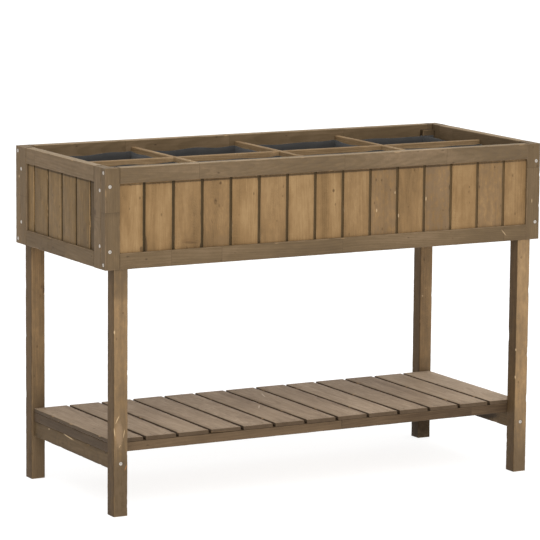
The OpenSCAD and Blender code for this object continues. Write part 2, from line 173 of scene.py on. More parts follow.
class Recipe:
    """Short forms that add a node or two to a tree and return an output."""

    def __init__(self, tree):
        self.tree = tree

    def add(self, kind, *values, out=0, named=None, **settings):
        made = self.tree.nodes.new(kind)
        for setting, value in settings.items():
            setattr(made, setting, value)
        self.fill(made, {**dict(enumerate(values)), **(named or {})})
        return made.outputs[out]

    def fill(self, node, values):
        """Gives inputs of a node their numbers, or links from the outputs of other nodes."""
        for key, value in values.items():
            if isinstance(value, bpy.types.NodeSocket):
                self.tree.links.new(value, node.inputs[key])
            elif value is not None:
                node.inputs[key].default_value = value

    def math(self, operation, *values):
        return self.add("ShaderNodeMath", *values, operation=operation)

    def plus(self, first, second):
        return self.math("ADD", first, second)

    def minus(self, first, second):
        return self.math("SUBTRACT", first, second)

    def times(self, first, second):
        return self.math("MULTIPLY", first, second)

    def times_plus(self, first, second, third):
        return self.math("MULTIPLY_ADD", first, second, third)

    def smaller(self, first, second):
        return self.math("MINIMUM", first, second)

    def larger(self, first, second):
        return self.math("MAXIMUM", first, second)

    def place(self):
        """Where a point is on the stand, in metres."""
        return self.add("ShaderNodeTexCoord", out=3)

    def vector(self, operation, *values):
        return self.add("ShaderNodeVectorMath", *values, operation=operation)

    def stretched(self, vector, factors):
        return self.vector("MULTIPLY", vector, factors)

    def scaled(self, vector, factor):
        return self.add("ShaderNodeVectorMath", vector, named={"Scale": factor}, operation="SCALE")

    def split(self, vector):
        made = self.tree.nodes.new("ShaderNodeSeparateXYZ")
        self.tree.links.new(vector, made.inputs[0])
        return made.outputs[0], made.outputs[1], made.outputs[2]

    def joined(self, x, y, z):
        return self.add("ShaderNodeCombineXYZ", x, y, z)

    def rise(self, value, low, high):
        """0 below low, 1 above high, and a smooth step between them."""
        return self.add("ShaderNodeMapRange", value, low, high, 0.0, 1.0, interpolation_type="SMOOTHSTEP")

    def fall(self, value, low, high):
        """1 below low, 0 above high, and a smooth step between them."""
        return self.minus(1.0, self.rise(value, low, high))

    def linear(self, value, low, high):
        """0 below low, 1 above high, and a straight line between them."""
        return self.add("ShaderNodeMapRange", value, low, high, 0.0, 1.0)

    def mix(self, share, first, second, blend="MIX"):
        sockets = {0: share, 6: first, 7: second}
        return self.add("ShaderNodeMix", named=sockets, out=2, data_type="RGBA", blend_type=blend)

    def noise(self, vector, detail=2.0, roughness=0.5, out=0):
        named = {"Vector": vector, "Scale": 1.0, "Detail": detail, "Roughness": roughness}
        return self.add("ShaderNodeTexNoise", named=named, out=out)

    def cells(self, vector, out=0):
        return self.add("ShaderNodeTexVoronoi", named={"Vector": vector, "Scale": 1.0}, out=out)

    def luck(self, number):
        """Three random values that always come out the same for the same number."""
        return self.add("ShaderNodeTexWhiteNoise", named={"W": number}, noise_dimensions="1D", out=1)

    def attribute(self, name, out):
        return self.add("ShaderNodeAttribute", attribute_name=name, out=out)


def new_finish(name):
    """A material, the recipe for its nodes, and its shader."""
    material = bpy.data.materials.new(name)
    material.use_nodes = True
    return material, Recipe(material.node_tree), material.node_tree.nodes["Principled BSDF"]


print("recipe:", sum(not name.startswith("_") for name in vars(Recipe)), "short forms")

# %% [markdown]
# Stained softwood is the whole look of this stand. Three things make it believable, and an image of
# wood could give only one: the year rings run through the piece, so that a board's face and its end
# agree; the stain sinks deeper between the rings and pales where an edge is rubbed; and no two boards
# are alike. So the colour is worked out inside the solid, from attributes that every wooden piece
# carries: `at`, a point's place in the sawn piece, along the grain, across it and through it; `half`,
# half the piece's size the same three ways; `seed`, a number that picks its part of the log; `tone`
# and `grey`, how light or weathered the wood came out; and `fresh`, where a chip bared new wood.
# Long pieces are glued up from short ones, so they also know `part`, the number of the short length
# that a point is in, and `joint`, how far along the nearest glue line lies.

# %% Where a point lies in its piece
LOG_SPREAD = 7.0
PART_SPREAD = 3.0
PART_CONTRAST = 0.25
GLUE_LINE = 0.6 * MM
SEED_STEP = 91.7
PART_STEP = 7.3
PART_SEED_STEP = 31.0
SCREEN_GAMMA = 2.2


def soft_colour(red, green, blue):
    """A colour as it is seen, from 0 to 255, turned into the linear values that a shader needs."""
    return tuple((x / 255) ** SCREEN_GAMMA for x in (red, green, blue)) + (1.0,)


def piece_facts(r, spliced):
    """The place of a point in its piece, the piece's luck, and the point's place in the whole log."""
    p = SimpleNamespace()
    for name, out in (("at", 1), ("half", 1), ("seed", 2), ("tone", 2), ("grey", 2), ("fresh", 2)):
        setattr(p, name, r.attribute(name, out))
    luck = r.luck(r.times(p.seed, SEED_STEP))
    p.luck_x, p.luck_y, p.luck_z = r.split(luck)
    p.along, p.across, p.through = r.split(p.at)
    p.log = r.vector("ADD", p.at, r.scaled(luck, LOG_SPREAD))
    p.glue = 0.0
    if spliced:
        piece = r.times(p.seed, PART_SEED_STEP)
        part = r.luck(r.times_plus(r.attribute("part", 2), PART_STEP, piece))
        part_tone, _, _ = r.split(part)
        p.tone = r.times_plus(r.minus(part_tone, 0.5), PART_CONTRAST, p.tone)
        p.log = r.vector("ADD", p.log, r.scaled(part, PART_SPREAD))
        away = r.math("ABSOLUTE", r.minus(p.along, r.attribute("joint", 2)))
        p.glue = r.fall(away, 0.3 * GLUE_LINE, GLUE_LINE)
    return p


print("glue lines:", GLUE_LINE / MM, "mm to each side")

# %% [markdown]
# A tree grows a pale soft layer each spring and a thin dark one each summer, round a pith that wanders
# a little. The sawn face shows lines where the saw crossed the layers steeply, and wide flames where
# it grazed them. Both come by themselves when the ring number is the distance from a pith that lies
# some way under the face. Round a knot the layers crowd together.

# %% Year rings and knots
RING = 3.4 * MM
LATE_WOOD = (0.35, 0.9)
YEAR_END = (0.93, 1.0)
DRIFT_PACE = (2.2, 7.0, 7.0)
DRIFT_REACH = 30 * MM
PITH_ASIDE = 110 * MM
PITH_NEAREST = 16 * MM
PITH_DEPTHS = 60 * MM
LOG_LEAN = 0.12
KNOT_PACE = (6.5, 13.0, 13.0)
KNOT_SHARE = 0.4
KNOT_EDGE = (0.035, 0.075)
KNOT_HALO = (0.03, 0.34)
RINGS_ROUND_KNOT = 2.2


def year_rings(r, p):
    """How late in its year the wood at a point grew, and where the knots are."""
    drift = r.noise(r.stretched(p.log, DRIFT_PACE), 1.0, out=1)
    drift = r.vector("SUBTRACT", drift, (0.5, 0.5, 0.5))
    _, drift_y, drift_z = r.split(r.scaled(drift, DRIFT_REACH))
    pith_y = r.times(r.minus(p.luck_x, 0.5), PITH_ASIDE)
    pith_z = r.times_plus(p.luck_y, PITH_DEPTHS, PITH_NEAREST)
    lean = r.times(r.minus(p.luck_z, 0.5), LOG_LEAN)
    slope = r.times(lean, p.along)
    ring_y = r.plus(r.minus(p.across, pith_y), drift_y)
    ring_z = r.plus(r.plus(r.minus(p.through, pith_z), slope), drift_z)
    radius = r.math("SQRT", r.plus(r.math("POWER", ring_y, 2.0), r.math("POWER", ring_z, 2.0)))

    knot_place = r.stretched(p.log, KNOT_PACE)
    knot_gap = r.cells(knot_place)
    knot_luck, _, _ = r.split(r.cells(knot_place, out=1))
    is_knot = r.math("GREATER_THAN", knot_luck, 1.0 - KNOT_SHARE)
    knot = r.times(is_knot, r.fall(knot_gap, *KNOT_EDGE))
    halo = r.times(is_knot, r.fall(knot_gap, *KNOT_HALO))
    radius = r.times_plus(halo, RINGS_ROUND_KNOT * RING, radius)
    phase = r.math("FRACT", r.math("DIVIDE", radius, RING))
    return r.times(r.rise(phase, *LATE_WOOD), r.fall(phase, *YEAR_END)), knot


print("year rings:", round(RING / MM, 1), "mm apart")

# %% [markdown]
# A thin brown stain makes this softwood uneven at every scale: hair-fine fibres, veins a few
# millimetres wide, long sweeps down a board, blotches where resin kept the stain out, and a cloudy
# bloom where the weather has been at it. Each is a noise stretched along the grain, and each has its
# own strength, so that every finish can be tuned without a new shader.

# %% How the stain took
FIBRE = (18.0, 240.0, 240.0)
VEIN = (3.0, 60.0, 60.0)
SWEEP = (2.0, 22.0, 22.0)
BLOTCH = (10.0, 26.0, 26.0)
BLOOM = (60.0, 110.0, 110.0)
PORE = (45.0, 90.0, 90.0)
FIBRE_WEIGHT = 2.2
VEIN_WEIGHT = 2.4
SWEEP_WEIGHT = 2.5
BLOTCH_WEIGHT = 3.2
BLOOM_WEIGHT = 1.2
WEATHER_WEIGHT = 2.5
USUAL_RING = 0.35
USUAL_BLOOM = 0.45
PORE_SHARE = 0.12
PORE_EDGE = (0.08, 0.22)


def stain_depth(r, p, late, rings, streaks, mottle):
    """How dark the stain came out at a point, round 0, with the fibre and the bloom by themselves."""
    fibre = r.noise(r.stretched(p.log, FIBRE), 3.0, 0.6)
    bloom = r.noise(r.stretched(p.log, BLOOM), 3.0, 0.65)
    dark = r.times(r.minus(late, USUAL_RING), rings)
    layers = ((fibre, streaks * FIBRE_WEIGHT),
              (r.noise(r.stretched(p.log, VEIN), 2.0, 0.5), streaks * VEIN_WEIGHT),
              (r.noise(r.stretched(p.log, SWEEP), 2.0, 0.5), mottle * SWEEP_WEIGHT),
              (r.noise(r.stretched(p.log, BLOTCH), 3.0, 0.55), mottle * BLOTCH_WEIGHT))
    for layer, strength in layers:
        dark = r.times_plus(r.minus(layer, 0.5), strength, dark)
    dark = r.times_plus(r.minus(bloom, 0.5), mottle * BLOOM_WEIGHT, dark)
    weathered = r.times(p.grey, r.minus(bloom, USUAL_BLOOM))
    return r.times_plus(weathered, WEATHER_WEIGHT, dark), fibre, bloom


def pores(r, p):
    """Pin pricks and short dark flecks, in a few of the cells of a fine grid."""
    place = r.stretched(p.log, PORE)
    luck, _, _ = r.split(r.cells(place, out=1))
    return r.times(r.fall(r.cells(place), *PORE_EDGE), r.math("GREATER_THAN", luck, 1.0 - PORE_SHARE))


print("stain: noise of", len((FIBRE, VEIN, SWEEP, BLOTCH, BLOOM)), "sizes, and pores in",
      PORE_SHARE, "of the grid's cells")

# %% [markdown]
# Handling leaves its own marks: arrises rubbed back to pale wood, darker end grain, dirt in the seams,
# and here and there a knot, a scratch or a splinter. The first three follow from how far a point is
# from its piece's edges. The last are listed one by one: each is an oval with a frayed rim, at its own
# place on the stand. A painted mask would do too, but an oval is one short line and can be moved.

# %% Edges and marks
ARRIS = 2.0 * MM
RUB_PACE = (30.0, 60.0, 60.0)
RUB_EDGE = (0.36, 0.60)
SAWN_END = (0.15 * MM, 0.5 * MM)
EDGE_SHADE_REACH = 9 * MM
SEAM_FADE = 0.6 * MM
FACE_ON = (0.6, 0.95)
FRAY_PACE = 300.0
FRAY_DEPTH = 0.7
MARK_EDGE = (0.8, 1.35)


def edges(r, p, rubbed, seam_from):
    """Where the arrises are rubbed, the ends are, the seams lie and painted shade falls, each from 0 to 1.
    """
    gap_x, gap_y, gap_z = r.split(r.vector("SUBTRACT", p.half, r.vector("ABSOLUTE", p.at)))
    low, high = r.smaller(gap_x, gap_y), r.larger(gap_x, gap_y)
    nearest_edge = r.larger(low, r.smaller(high, gap_z))
    patch = r.rise(r.noise(r.stretched(p.log, RUB_PACE), 2.0), *RUB_EDGE)
    arris = r.fall(nearest_edge, 0.2 * ARRIS, ARRIS)
    arris = r.times(arris, r.times(patch, rubbed))
    end = r.fall(gap_x, *SAWN_END)
    seam = r.rise(r.times(gap_y, -1.0), seam_from, seam_from + SEAM_FADE)
    # Painted shade: the wood darkens near its long edges and, over twice the reach, near its ends, as if
    # its neighbours shaded it.
    edge_shade = r.fall(gap_y, 0.0, EDGE_SHADE_REACH)
    edge_shade = r.larger(edge_shade, r.fall(gap_x, 0.0, 2 * EDGE_SHADE_REACH))
    return arris, end, seam, edge_shade


def facing(r, way, both=True):
    """1 on the faces that look one way on the stand, or both ways along that axis, and 0 on the others."""
    normal = r.add("ShaderNodeTexCoord", out=1)
    turned = r.add("ShaderNodeVectorMath", normal, way, operation="DOT_PRODUCT", out=1)
    return r.rise(r.math("ABSOLUTE", turned) if both else turned, *FACE_ON)


def mark(place, reach, shade, strength=0.8, turn=(0, 0, 0)):
    """A spot or scratch: where its middle is, its three half sizes, its colour, and its turn in degrees."""
    return place, reach, shade, strength, turn


def marked(r, colour, marks):
    """Lays marks over a colour."""
    here = r.place()
    fray = r.noise(r.scaled(here, FRAY_PACE), 2.0, 0.6)
    for place, reach, shade, strength, turn in marks:
        middle = tuple(x * MM for x in place)
        angles = tuple(math.radians(x) for x in turn)
        radii = tuple(x * MM for x in reach)
        oval = r.add("ShaderNodeMapping", here, middle, angles, radii, vector_type="TEXTURE")
        far = r.add("ShaderNodeVectorMath", oval, operation="LENGTH", out=1)
        share = r.fall(r.times_plus(fray, FRAY_DEPTH, far), *MARK_EDGE)
        colour = r.mix(r.times(share, strength), colour, soft_colour(*shade))
    return colour


# The reach printed here is that of the painted shade near edges and ends.
print("edges: rubbed over", ARRIS / MM, "mm, stain pools over", round(EDGE_SHADE_REACH / MM), "mm")

# %% [markdown]
# One recipe now serves every finish of wood on the stand. It takes three colours: pale, where the wood
# is rubbed; stain, the usual one; and deep, for the darkest stain and the painted shade near edges and
# ends. A straight mix of two colours would pass through a muddy middle, so the ramp has the usual
# colour as a stop of its own. Painted light makes the faces that look up paler, most of all on the rim
# of the box, painted shade darkens the faces other than the show faces, and the dirt in the seams may
# lie thicker at one end of the stand than at the other.

# %% Stained fir
SEAM_DIRT = (70, 58, 40)
BARE_WOOD = (178, 146, 108)
WEATHERED = (112, 100, 88)
KNOT_BROWN = (62, 46, 34)
PALE_AT, DEEP_AT, DEEPEST_AT = -0.8, 0.9, 2.2
DEEPEST_SHADE = 0.62
GREY_FROM = (0.3, 0.6)
KNOT_STRENGTH = 0.7
PORE_STRENGTH = 0.5
END_STRENGTH = 0.5
FRESH_STRENGTH = 0.6
GLUE_STRENGTH = 0.7
TONE_ON_SIDES = 0.35
RIM_HEIGHT = (740 * MM, 755 * MM)
LEDGE_SHARE = 0.15
DIRT_WAY = (-500 * MM, 500 * MM)
GRAIN_HEIGHT = 0.5 * MM
GRAIN_STRENGTH = 0.35
WOOD_ROUGH = 0.52
WOOD_SHINE = 0.15
FRONT, UP = (0.0, -1.0, 0.0), (0.0, 0.0, 1.0)


def fir(name, pale, stain, deep, rings=0.5, streaks=0.5, mottle=0.3, rubbed=0.5, edge_shade_strength=0.2,
        show=None, side_shade=(1, 1, 1), end_shade=(1, 1, 1), top_light=None, spliced=False, marks=(),
        seam_from=0.1 * MM, seam_share=(0.85, 0.85)):
    """Fir under a thin stain.

    show is the axis along which its two show faces look, side_shade the painted shade on the other
    faces, and end_shade the painted shade on its two ends. top_light is the painted light that makes
    the faces that look up paler, and edge_shade_strength how much painted shade darkens the wood near
    its edges and ends. seam_from is how far outside the shown face the dirt of a seam starts, which is
    below zero on a rounded edge, and seam_share how thick it lies at the stand's two ends.
    """
    deepest = soft_colour(*(DEEPEST_SHADE * x for x in deep))
    pale, stain, deep = soft_colour(*pale), soft_colour(*stain), soft_colour(*deep)
    material, r, shader = new_finish(name)
    p = piece_facts(r, spliced)
    late, knot = year_rings(r, p)
    dark, fibre, bloom = stain_depth(r, p, late, rings, streaks, mottle)
    arris, end, seam, edge_shade = edges(r, p, rubbed, seam_from)
    # Painted shade near the long edges and the ends.
    dark = r.times_plus(edge_shade, edge_shade_strength, dark)
    shown = facing(r, show) if show else 1.0
    share = r.times_plus(shown, 1.0 - TONE_ON_SIDES, TONE_ON_SIDES) if show else 1.0
    dark = r.minus(dark, r.times(p.tone, share))

    colour = r.mix(r.linear(dark, PALE_AT, 0.0), pale, stain)
    colour = r.mix(r.linear(dark, 0.0, DEEP_AT), colour, deep)
    colour = r.mix(r.linear(dark, DEEP_AT, DEEPEST_AT), colour, deepest)
    weathered = r.mix(0.5, stain, soft_colour(*WEATHERED))
    colour = r.mix(r.times(p.grey, r.rise(bloom, *GREY_FROM)), colour, weathered)
    colour = r.mix(r.times(knot, KNOT_STRENGTH), colour, soft_colour(*KNOT_BROWN))
    pore = pores(r, p)
    colour = r.mix(r.times(pore, PORE_STRENGTH), colour, deep, "MULTIPLY")

    colour = r.mix(arris, colour, pale)
    colour = r.mix(r.times(end, END_STRENGTH), colour, deep)
    # Painted shade: all faces but the show faces are darkened, and the ends by their own amount.
    if show:
        shade = r.mix(end, (*side_shade, 1.0), (*end_shade, 1.0))
        colour = r.mix(r.minus(1.0, shown), colour, shade, "MULTIPLY")
    length_way, _, height = r.split(r.place())
    # Painted light: the faces that look up are made paler, fully on the rim of the box and by a small share
    # on the ledges below.
    if top_light:
        open_top = r.times_plus(r.rise(height, *RIM_HEIGHT), 1.0 - LEDGE_SHARE, LEDGE_SHARE)
        share = r.times(facing(r, UP, both=False), open_top)
        colour = r.mix(share, colour, (*top_light, 1.0), "MULTIPLY")
    colour = r.mix(r.times(p.fresh, FRESH_STRENGTH), colour, soft_colour(*BARE_WOOD))
    left_dirt, right_dirt = seam_share
    dirt = r.times_plus(r.linear(length_way, *DIRT_WAY), right_dirt - left_dirt, left_dirt)
    colour = r.mix(r.times(seam, dirt), colour, soft_colour(*SEAM_DIRT))
    if spliced:
        colour = r.mix(r.times(p.glue, GLUE_STRENGTH), colour, deep)
    if marks:
        colour = marked(r, colour, marks)

    grain = r.times_plus(fibre, 0.7, r.times(late, 0.5))
    grain = r.minus(grain, r.times(pore, 0.6))
    relief = {"Strength": GRAIN_STRENGTH, "Distance": GRAIN_HEIGHT, "Height": grain}
    r.fill(shader, {
        "Base Color": colour,
        "Normal": r.add("ShaderNodeBump", named=relief),
        "Roughness": r.times_plus(fibre, 0.25, WOOD_ROUGH),
        "Specular IOR Level": WOOD_SHINE,
    })
    return material


print("fir: a ramp of pale, stain, deep and deepest at", PALE_AT, 0.0, DEEP_AT, DEEPEST_AT)

# %% [markdown]
# The marks that catch the eye are listed by the finish that they lie on, in millimetres on the stand:
# chips, dark flecks and scratches, and some painted light and shade: the shadow line under a top rail,
# the shelf's shadow on the right stretcher, the shade on the rear right leg's foot, and lit edges of
# two end boards. Noise could scatter such flecks, but a stand is known by the few plain ones, so each
# of those has its own line. First come the planes of the faces that they lie on, then each mark's
# middle, its half sizes, colour, strength and turn.

# %% Marks placed one by one
PALE_CHIP = (200, 172, 134)
DARK_SPECK = (84, 64, 44)
PALE_SCRATCH = (200, 182, 160)
PAINTED_EDGE_HIGHLIGHT = (176, 142, 98)
LEG_FACE = -228
REAR_LEG_FACE = 195
PANEL_FACE = -230
BOARD_FACE = -224.5
END_PANEL_FACE = -550
END_BOARD_FACE = -544.5
SHELF_RAIL_FACE = -194
STRETCHER_FACE = -521.5
SLAT_TOP = 164
LEG_MARKS = (
    mark((-515, LEG_FACE, 180), (11, 6, 38), (146, 122, 96), 0.55),
    mark((-520, LEG_FACE, 214), (1.5, 4, 11), PALE_CHIP, 0.85, (0, 27, 0)),
    mark((-526.5, LEG_FACE, 187), (1.3, 4, 12), PALE_CHIP, 0.8, (0, -6, 0)),
    mark((-504, LEG_FACE, 182), (1.1, 4, 12), PALE_CHIP, 0.7, (0, 10, 0)),
    mark((-514, LEG_FACE, 155), (1.1, 4, 5), PALE_CHIP, 0.6, (0, 37, 0)),
    mark((-498, REAR_LEG_FACE, 434), (3, 4, 14), DARK_SPECK, 0.75, (0, -6, 0)),
    mark((-503.4, REAR_LEG_FACE, 440), (2.6, 4, 5), (96, 70, 54), 0.6),
    mark((-495.5, REAR_LEG_FACE, 424), (2.6, 4, 4), PALE_CHIP),
    mark((-506, REAR_LEG_FACE, 420), (2.6, 4, 4), (112, 80, 50), 0.5),
    mark((-528, 188, 221), (3, 6, 5), DARK_SPECK, 0.5),
    # Painted shade: the rear right leg's foot, dark where it stands in shade under the shelf.
    mark((511, 212, 60), (44, 44, 96), (46, 32, 13), 0.75),
    mark((501, REAR_LEG_FACE, 348), (2.5, 4, 3), PALE_CHIP, 0.5),
    mark((510, REAR_LEG_FACE, 366), (1.6, 4, 1.6), PALE_CHIP, 0.5),
    mark((-499.5, LEG_FACE, 107), (1.2, 4, 9), (176, 116, 66), 0.7, (0, 25, 0)),
    mark((-507, LEG_FACE, 446), (2, 4, 2.5), DARK_SPECK),
    mark((-527, LEG_FACE, 405), (1.6, 4, 5), PALE_CHIP, 0.9),
    mark((495.5, LEG_FACE, 286), (1.4, 4, 4), PALE_CHIP, 0.8),
    mark((495.5, LEG_FACE, 222), (1.4, 4, 5), PALE_CHIP, 0.8),
)
BOARD_MARKS = (
    # Painted shadow: the dark line on the boards just under the top rail.
    mark((0, BOARD_FACE, 721.5), (800, 3, 3.2), (64, 50, 36), 0.75),
    mark((-345, BOARD_FACE, 588), (21, 3, 3.6), DARK_SPECK, 0.6, (0, 4, 0)),
    mark((-350, BOARD_FACE, 592), (18, 3, 7), (112, 86, 58), 0.5),
    mark((-462, BOARD_FACE, 581), (4.5, 3, 9), DARK_SPECK, 0.75),
    mark((-451.2, BOARD_FACE, 588), (4.5, 3, 30), (80, 64, 46), 0.85, (0, -3, 0)),
    mark((-271, BOARD_FACE, 713), (4, 3, 5), DARK_SPECK, 0.8),
    mark((-291, BOARD_FACE, 630), (1.1, 3, 7), DARK_SPECK, 0.5, (0, -28, 0)),
    mark((11, BOARD_FACE, 681), (3.5, 3, 4.5), DARK_SPECK, 0.8),
    mark((-116, BOARD_FACE, 697), (1.6, 3, 5), DARK_SPECK, 0.6),
    mark((-117, BOARD_FACE, 676), (1.8, 3, 2.2), DARK_SPECK, 0.6),
    mark((-131, BOARD_FACE, 622), (1.8, 3, 2.2), DARK_SPECK, 0.6),
    mark((122, BOARD_FACE, 630), (2, 3, 5), PALE_CHIP, 0.6),
    mark((116, BOARD_FACE, 647), (2, 3, 4), DARK_SPECK, 0.6),
    mark((157, BOARD_FACE, 674), (2, 3, 4), DARK_SPECK, 0.6),
    mark((169, BOARD_FACE, 668), (2, 3, 4), PALE_CHIP, 0.6),
    mark((179, BOARD_FACE, 615), (1.6, 3, 6), PALE_CHIP, 0.6),
    mark((204, BOARD_FACE, 633), (2, 3, 2), DARK_SPECK, 0.7),
    mark((250, BOARD_FACE, 649), (1.6, 3, 6), PALE_CHIP, 0.6),
    mark((295, BOARD_FACE, 620), (2.6, 3, 3), DARK_SPECK, 0.5),
    mark((302, BOARD_FACE, 582), (2, 3, 2), DARK_SPECK, 0.7),
    mark((364, BOARD_FACE, 669), (2, 3, 2.5), DARK_SPECK, 0.7),
    mark((102, BOARD_FACE, 585), (1.4, 3, 7), PALE_CHIP, 0.6),
    mark((-267, BOARD_FACE, 588), (26, 3, 16), (122, 98, 70), 0.45),
)
END_BOARD_MARKS = (
    # Painted shadow: the dark line on the end boards just under the top rail.
    mark((END_BOARD_FACE, 0, 721.5), (3, 300, 3.0), (60, 48, 34), 0.7),
    # Painted highlights: a light line along two end boards, beside their seams.
    mark((END_BOARD_FACE, -140.8, 645), (5, 1.5, 105), PAINTED_EDGE_HIGHLIGHT, 0.5),
    mark((END_BOARD_FACE, 146.6, 650), (5, 1.8, 100), PAINTED_EDGE_HIGHLIGHT, 0.5),
)
FRAME_MARKS = (
    mark((529, PANEL_FACE, 629), (1.2, 3, 6), PALE_CHIP, 0.7),
    mark((455, PANEL_FACE, 560), (1.5, 3, 12), PALE_CHIP, 0.5, (0, -42, 0)),
    mark((319, PANEL_FACE, 556), (1.8, 3, 1.8), DARK_SPECK, 0.8),
    mark((END_PANEL_FACE, 212, 692), (3, 2.2, 4), PALE_CHIP, 0.7),
)
SHELF_FRAME_MARKS = (
    mark((57, SHELF_RAIL_FACE, 153), (1.6, 6, 20), (52, 40, 28), 0.65),
)
STRETCHER_MARKS = (
    # Painted shadow: the shelf's shadow on the inner face of the right stretcher.
    mark((501.5, -92, 108), (3, 78, 13), (40, 31, 21), 0.8, (-11, 0, 0)),
    mark((STRETCHER_FACE, 15, 131), (3, 34, 1.6), PALE_CHIP, 0.8, (5, 0, 0)),
    mark((STRETCHER_FACE, 117, 130), (3, 3, 2.5), PALE_CHIP, 0.8),
    mark((STRETCHER_FACE, 190, 98), (3, 3, 3), PALE_CHIP, 0.8),
)
SLAT_MARKS = (
    mark((-42, 35, SLAT_TOP), (2.2, 16, 3), PALE_SCRATCH, 0.8, (0, 0, -6)),
    mark((-58, -16, SLAT_TOP), (2.2, 26, 3), PALE_SCRATCH, 0.8, (0, 0, -30)),
    mark((16, 100, SLAT_TOP), (2.2, 30, 3), PALE_SCRATCH, 0.8, (0, 0, -18)),
    mark((-509, 124, SLAT_TOP), (4, 5, 3), DARK_SPECK, 0.6),
    mark((-500, -71, SLAT_TOP), (4, 5, 3), DARK_SPECK, 0.6),
)
print("marks:", len(LEG_MARKS), "on the legs,", len(BOARD_MARKS), "on the long panels' boards")

# %% [markdown]
# The stand's woods are the same fir in different states. The long panels' boards came out golden, the
# frame pinker and darker, the legs pale in front and behind, the slats of the shelf pale on top, and
# what holds them up nearly as dark as walnut. The dark sides of the legs, the slats and the shelf's
# frame are painted shade, and the paler tops of the frame are painted light. Each finish is one call of
# the same recipe, with three colours and its own strengths.

# %% The finishes of wood
IN_ROUNDED_EDGE = -0.5 * MM
WOODS = {
    "frame_wood": fir("fir_frame", (134, 112, 88), (105, 87, 64), (75, 61, 45), rings=0.2, streaks=0.28,
                      mottle=0.22, rubbed=0.75, edge_shade_strength=0.1, top_light=(1.9, 2.08, 2.35), spliced=True,
                      marks=FRAME_MARKS),
    "board_wood": fir("fir_boards", (159, 130, 92), (133, 105, 71), (100, 78, 51), rings=0.12, streaks=0.28,
                      mottle=0.5, rubbed=0.4, edge_shade_strength=0.3, marks=BOARD_MARKS, seam_from=IN_ROUNDED_EDGE,
                      seam_share=(1.0, 0.62)),
    "end_board_wood": fir("fir_end_boards", (142, 114, 78), (114, 92, 62), (82, 65, 42), rings=0.25,
                          streaks=0.4, mottle=0.45, rubbed=0.6, edge_shade_strength=0.3, marks=END_BOARD_MARKS,
                          seam_from=IN_ROUNDED_EDGE),
    "leg_wood": fir("fir_legs", (176, 146, 106), (146, 118, 84), (96, 79, 58), rings=0.22, streaks=0.32,
                    mottle=0.38, rubbed=0.5, edge_shade_strength=0.1, show=FRONT, side_shade=(0.37, 0.355, 0.335),
                    end_shade=(0.37, 0.355, 0.335), marks=LEG_MARKS),
    "shelf_wood": fir("fir_slats", (183, 162, 139), (156, 136, 114), (119, 100, 81), rings=0.3, streaks=0.4,
                      mottle=0.42, rubbed=0.35, show=UP, side_shade=(0.24, 0.215, 0.18),
                      end_shade=(0.36, 0.33, 0.29), marks=SLAT_MARKS),
    "inner_wood": fir("fir_inside", (174, 148, 114), (142, 116, 84), (106, 84, 58), rings=0.5, streaks=0.5,
                      mottle=0.3, rubbed=0.3),
    "shelf_frame": fir("fir_shelf_frame", (134, 111, 85), (106, 87, 66), (75, 60, 45), rings=0.22,
                       streaks=0.35, mottle=0.3, rubbed=0.4, show=FRONT, side_shade=(0.5, 0.49, 0.48),
                       end_shade=(0.7, 0.68, 0.66), spliced=True, marks=SHELF_FRAME_MARKS),
    "stretcher": fir("fir_stretcher", (116, 95, 68), (88, 71, 49), (62, 50, 34), rings=0.22, streaks=0.35,
                     mottle=0.3, rubbed=0.5, marks=STRETCHER_MARKS),
}
print("woods:", sorted(WOODS))

# %% [markdown]
# The screws are zinc-plated steel: nearly white under a bright sky, a little uneven, and brown at the
# rim, partly from stain of the wood that has run onto the head and partly painted shade where the head
# sits in its hole. The pocket liners are black needle felt, whose short fibres catch light at a flat
# angle. Both are small, so a few nodes do: noise for the plating, and sheen with a fine bump for the
# felt. Each point of a screw carries `rim`, its share of the way from the axis to the head's edge.

# %% Zinc and felt
ZINC_DULL = (166, 157, 146)
ZINC_BRIGHT = (222, 214, 204)
ZINC_RIM_STAIN_AND_SHADE = (92, 76, 58)
RIM_STAIN_AND_SHADE_FROM = (0.66, 0.98)
RIM_STAIN_AND_SHADE_STRENGTH = 0.85
PLATING_PACE = 420.0
FELT_DARK = (32, 31, 30)
FELT_LIGHT = (66, 64, 62)
FUZZ_PACE = 900.0
DIMPLE_PACE = 330.0
CLOUD_PACE = 60.0
FELT_HEIGHT = 0.4 * MM


def zinc_plate():
    material, r, shader = new_finish("zinc")
    cloud = r.noise(r.scaled(r.place(), PLATING_PACE), 2.0)
    plating = r.mix(cloud, soft_colour(*ZINC_DULL), soft_colour(*ZINC_BRIGHT))
    # The rim darkens, partly by stain from the wood and partly by painted shade.
    rim_stain_and_shade = r.times(r.rise(r.attribute("rim", 2), *RIM_STAIN_AND_SHADE_FROM), RIM_STAIN_AND_SHADE_STRENGTH)
    r.fill(shader, {
        "Base Color": r.mix(rim_stain_and_shade, plating, soft_colour(*ZINC_RIM_STAIN_AND_SHADE)),
        "Roughness": r.times_plus(cloud, 0.25, 0.30),
        "Metallic": 0.75,
    })
    return material


def needle_felt():
    material, r, shader = new_finish("felt")
    place = r.place()
    fuzz = r.noise(r.scaled(place, FUZZ_PACE), 3.0, 0.7)
    cloud = r.noise(r.scaled(place, CLOUD_PACE), 3.0)
    dimple = r.rise(r.cells(r.scaled(place, DIMPLE_PACE)), 0.1, 0.45)
    shade = r.times_plus(fuzz, 0.5, r.times(cloud, 0.5))
    height = r.times_plus(dimple, 0.6, fuzz)
    relief = {"Strength": 0.6, "Distance": FELT_HEIGHT, "Height": height}
    r.fill(shader, {
        "Base Color": r.mix(shade, soft_colour(*FELT_DARK), soft_colour(*FELT_LIGHT)),
        "Normal": r.add("ShaderNodeBump", named=relief),
        "Roughness": 0.95,
        "Sheen Weight": 0.3,
    })
    return material


FINISHES = {**WOODS, "zinc": zinc_plate(), "liner": needle_felt()}
print("finishes:", sorted(FINISHES))

